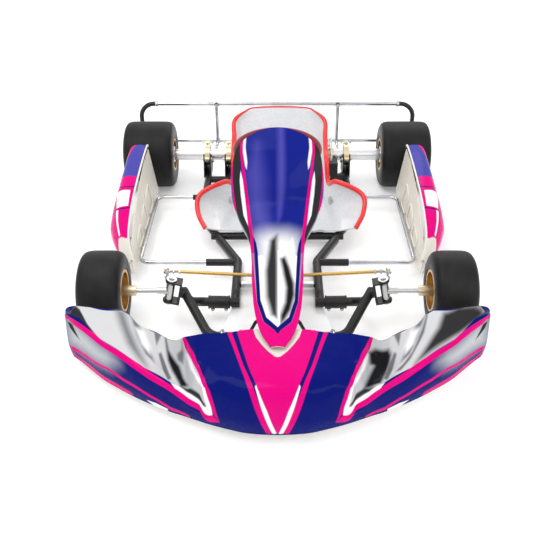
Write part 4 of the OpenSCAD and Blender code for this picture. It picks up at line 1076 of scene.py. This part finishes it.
def make_wheel_fittings(metals):
    """Valves, balance screws and bolts that turn with the wheels and the axle."""
    for side, s in SIDES:
        kit = Kit()
        for a in (90, 210, 330):
            kit.add(socket_bolt(about_axle(FRONT, FRONT_IN + 41.6, 48, a), X, 3.6, 4), s)
        kit.add(valve([FRONT_IN + 42, FRONT[1], FRONT[2] + 49]), s)
        kit.make("front_wheel_fittings_" + side, metals["steel"], "wheel_front_" + side, "plated_steel")
    kit = Kit()
    for side, s in SIDES:
        for a in range(0, 360, 60):
            kit.add(bolt(about_axle(REAR, REAR_IN + 78.4, 41, a), X, 8, 5), s)
        kit.add(valve([REAR_IN + 78, REAR[1], REAR[2] + 49]), s)
        kit.add(socket_bolt([REAR_IN + 14, REAR[1], REAR[2] + 34.8], [0, 0, 1], 5, 6), s)
    for a in range(30, 390, 60):
        for way in (1, -1):
            kit.add(bolt(about_axle(REAR, DISC_X + way * 3.1, 40, a), X * way, 8, 4.5))
    kit.make("axle_fittings", metals["steel"], "rear_axle", "plated_steel")


def make_liner_frames():
    """Raised mouldings round the hollows of each pod's inner wall, and a bead along its foot."""
    shade = plastic("ivory_moulding_beads", (0.84, 0.81, 0.73), 0.36, 460, 0.08)
    lean = math.radians(8)

    def on_wall(y, h, out):
        c, d = math.cos(lean), math.sin(lean)
        return [504 - out * c + h * d, y, 40 + out * d + h * c]

    for side, s in SIDES:
        kit = Kit()
        for y in (0, 130, 260):
            top = 74 + 0.16 * y
            corners = [(y, 30), (y + 96, 30), (y + 96, top + 8), (y, top - 6)]
            path = []
            for (y0, h0), (y1, h1) in zip(corners, corners[1:] + corners[:1]):
                path += [on_wall(y0 + (y1 - y0) * f, h0 + (h1 - h0) * f, 1.4)
                         for f in (0.1, 0.3, 0.5, 0.7, 0.9)]
            kit.add(tube(path, 3.4, 8, closed=True), s)
        foot = [on_wall(y, 14, 1.2) for y in range(-110, 480, 20)]
        kit.add(tube(foot, 2.6, 8), s)
        kit.make("liner_beads_" + side, shade, "chassis", "ivory_plastic", sharp=60)


def make_controls(metals):
    """Ribbed pedal grips, the wheel's seam, and bolts on the column."""
    for name, s in (("brake_pedal", 1), ("throttle_pedal", -1)):
        profile = [[8.1, -29]]
        for i in range(19):
            profile += [[9.2, -28 + 3 * i], [9.2, -26.4 + 3 * i], [8.5, -25.9 + 3 * i], [8.5, -25.1 + 3 * i]]
        profile += [[8.1, 29], [8.1, -29]]
        kit = Kit().add(lathe(profile, PEDAL * [s, 1, 1], X, 28))
        kit.make(name + "_grip", metals["rubber"], name, "rubber_black")
    kit = Kit()
    x, y, z = frame_at(COLUMN, X)
    a = np.arange(180) * math.pi / 90
    seam = WHEEL + 129.3 * (np.cos(a)[:, None] * x + np.sin(a)[:, None] * y)
    weave = z * (1.6 * np.sin(a * 60))[:, None]
    kit.add(tube(seam + weave, 1.1, 6, closed=True))
    kit.make("wheel_seam", metals["rubber"], "steering", "wheel_grip", sharp=0)
    kit = Kit().add(bolt(PITMAN - COLUMN * 15 + X * 15.6, X, 8, 4))
    for s in (1, -1):
        kit.add(bolt(PIN * [s, 1, 1] + COLUMN * 9.4, COLUMN, 8, 4.5))
    kit.make("column_bolts", metals["steel"], "steering", "plated_steel")


def make_hardware(metals):
    make_welds(metals["coat"])
    make_front_fittings(metals)
    make_rod_ends(metals)
    make_chassis_bolts(metals)
    make_wheel_fittings(metals)
    make_controls(metals)
    make_liner_frames()


make_bodywork()
make_seat()
make_tyres()
METALS = finish_nodes()
make_hardware(METALS)
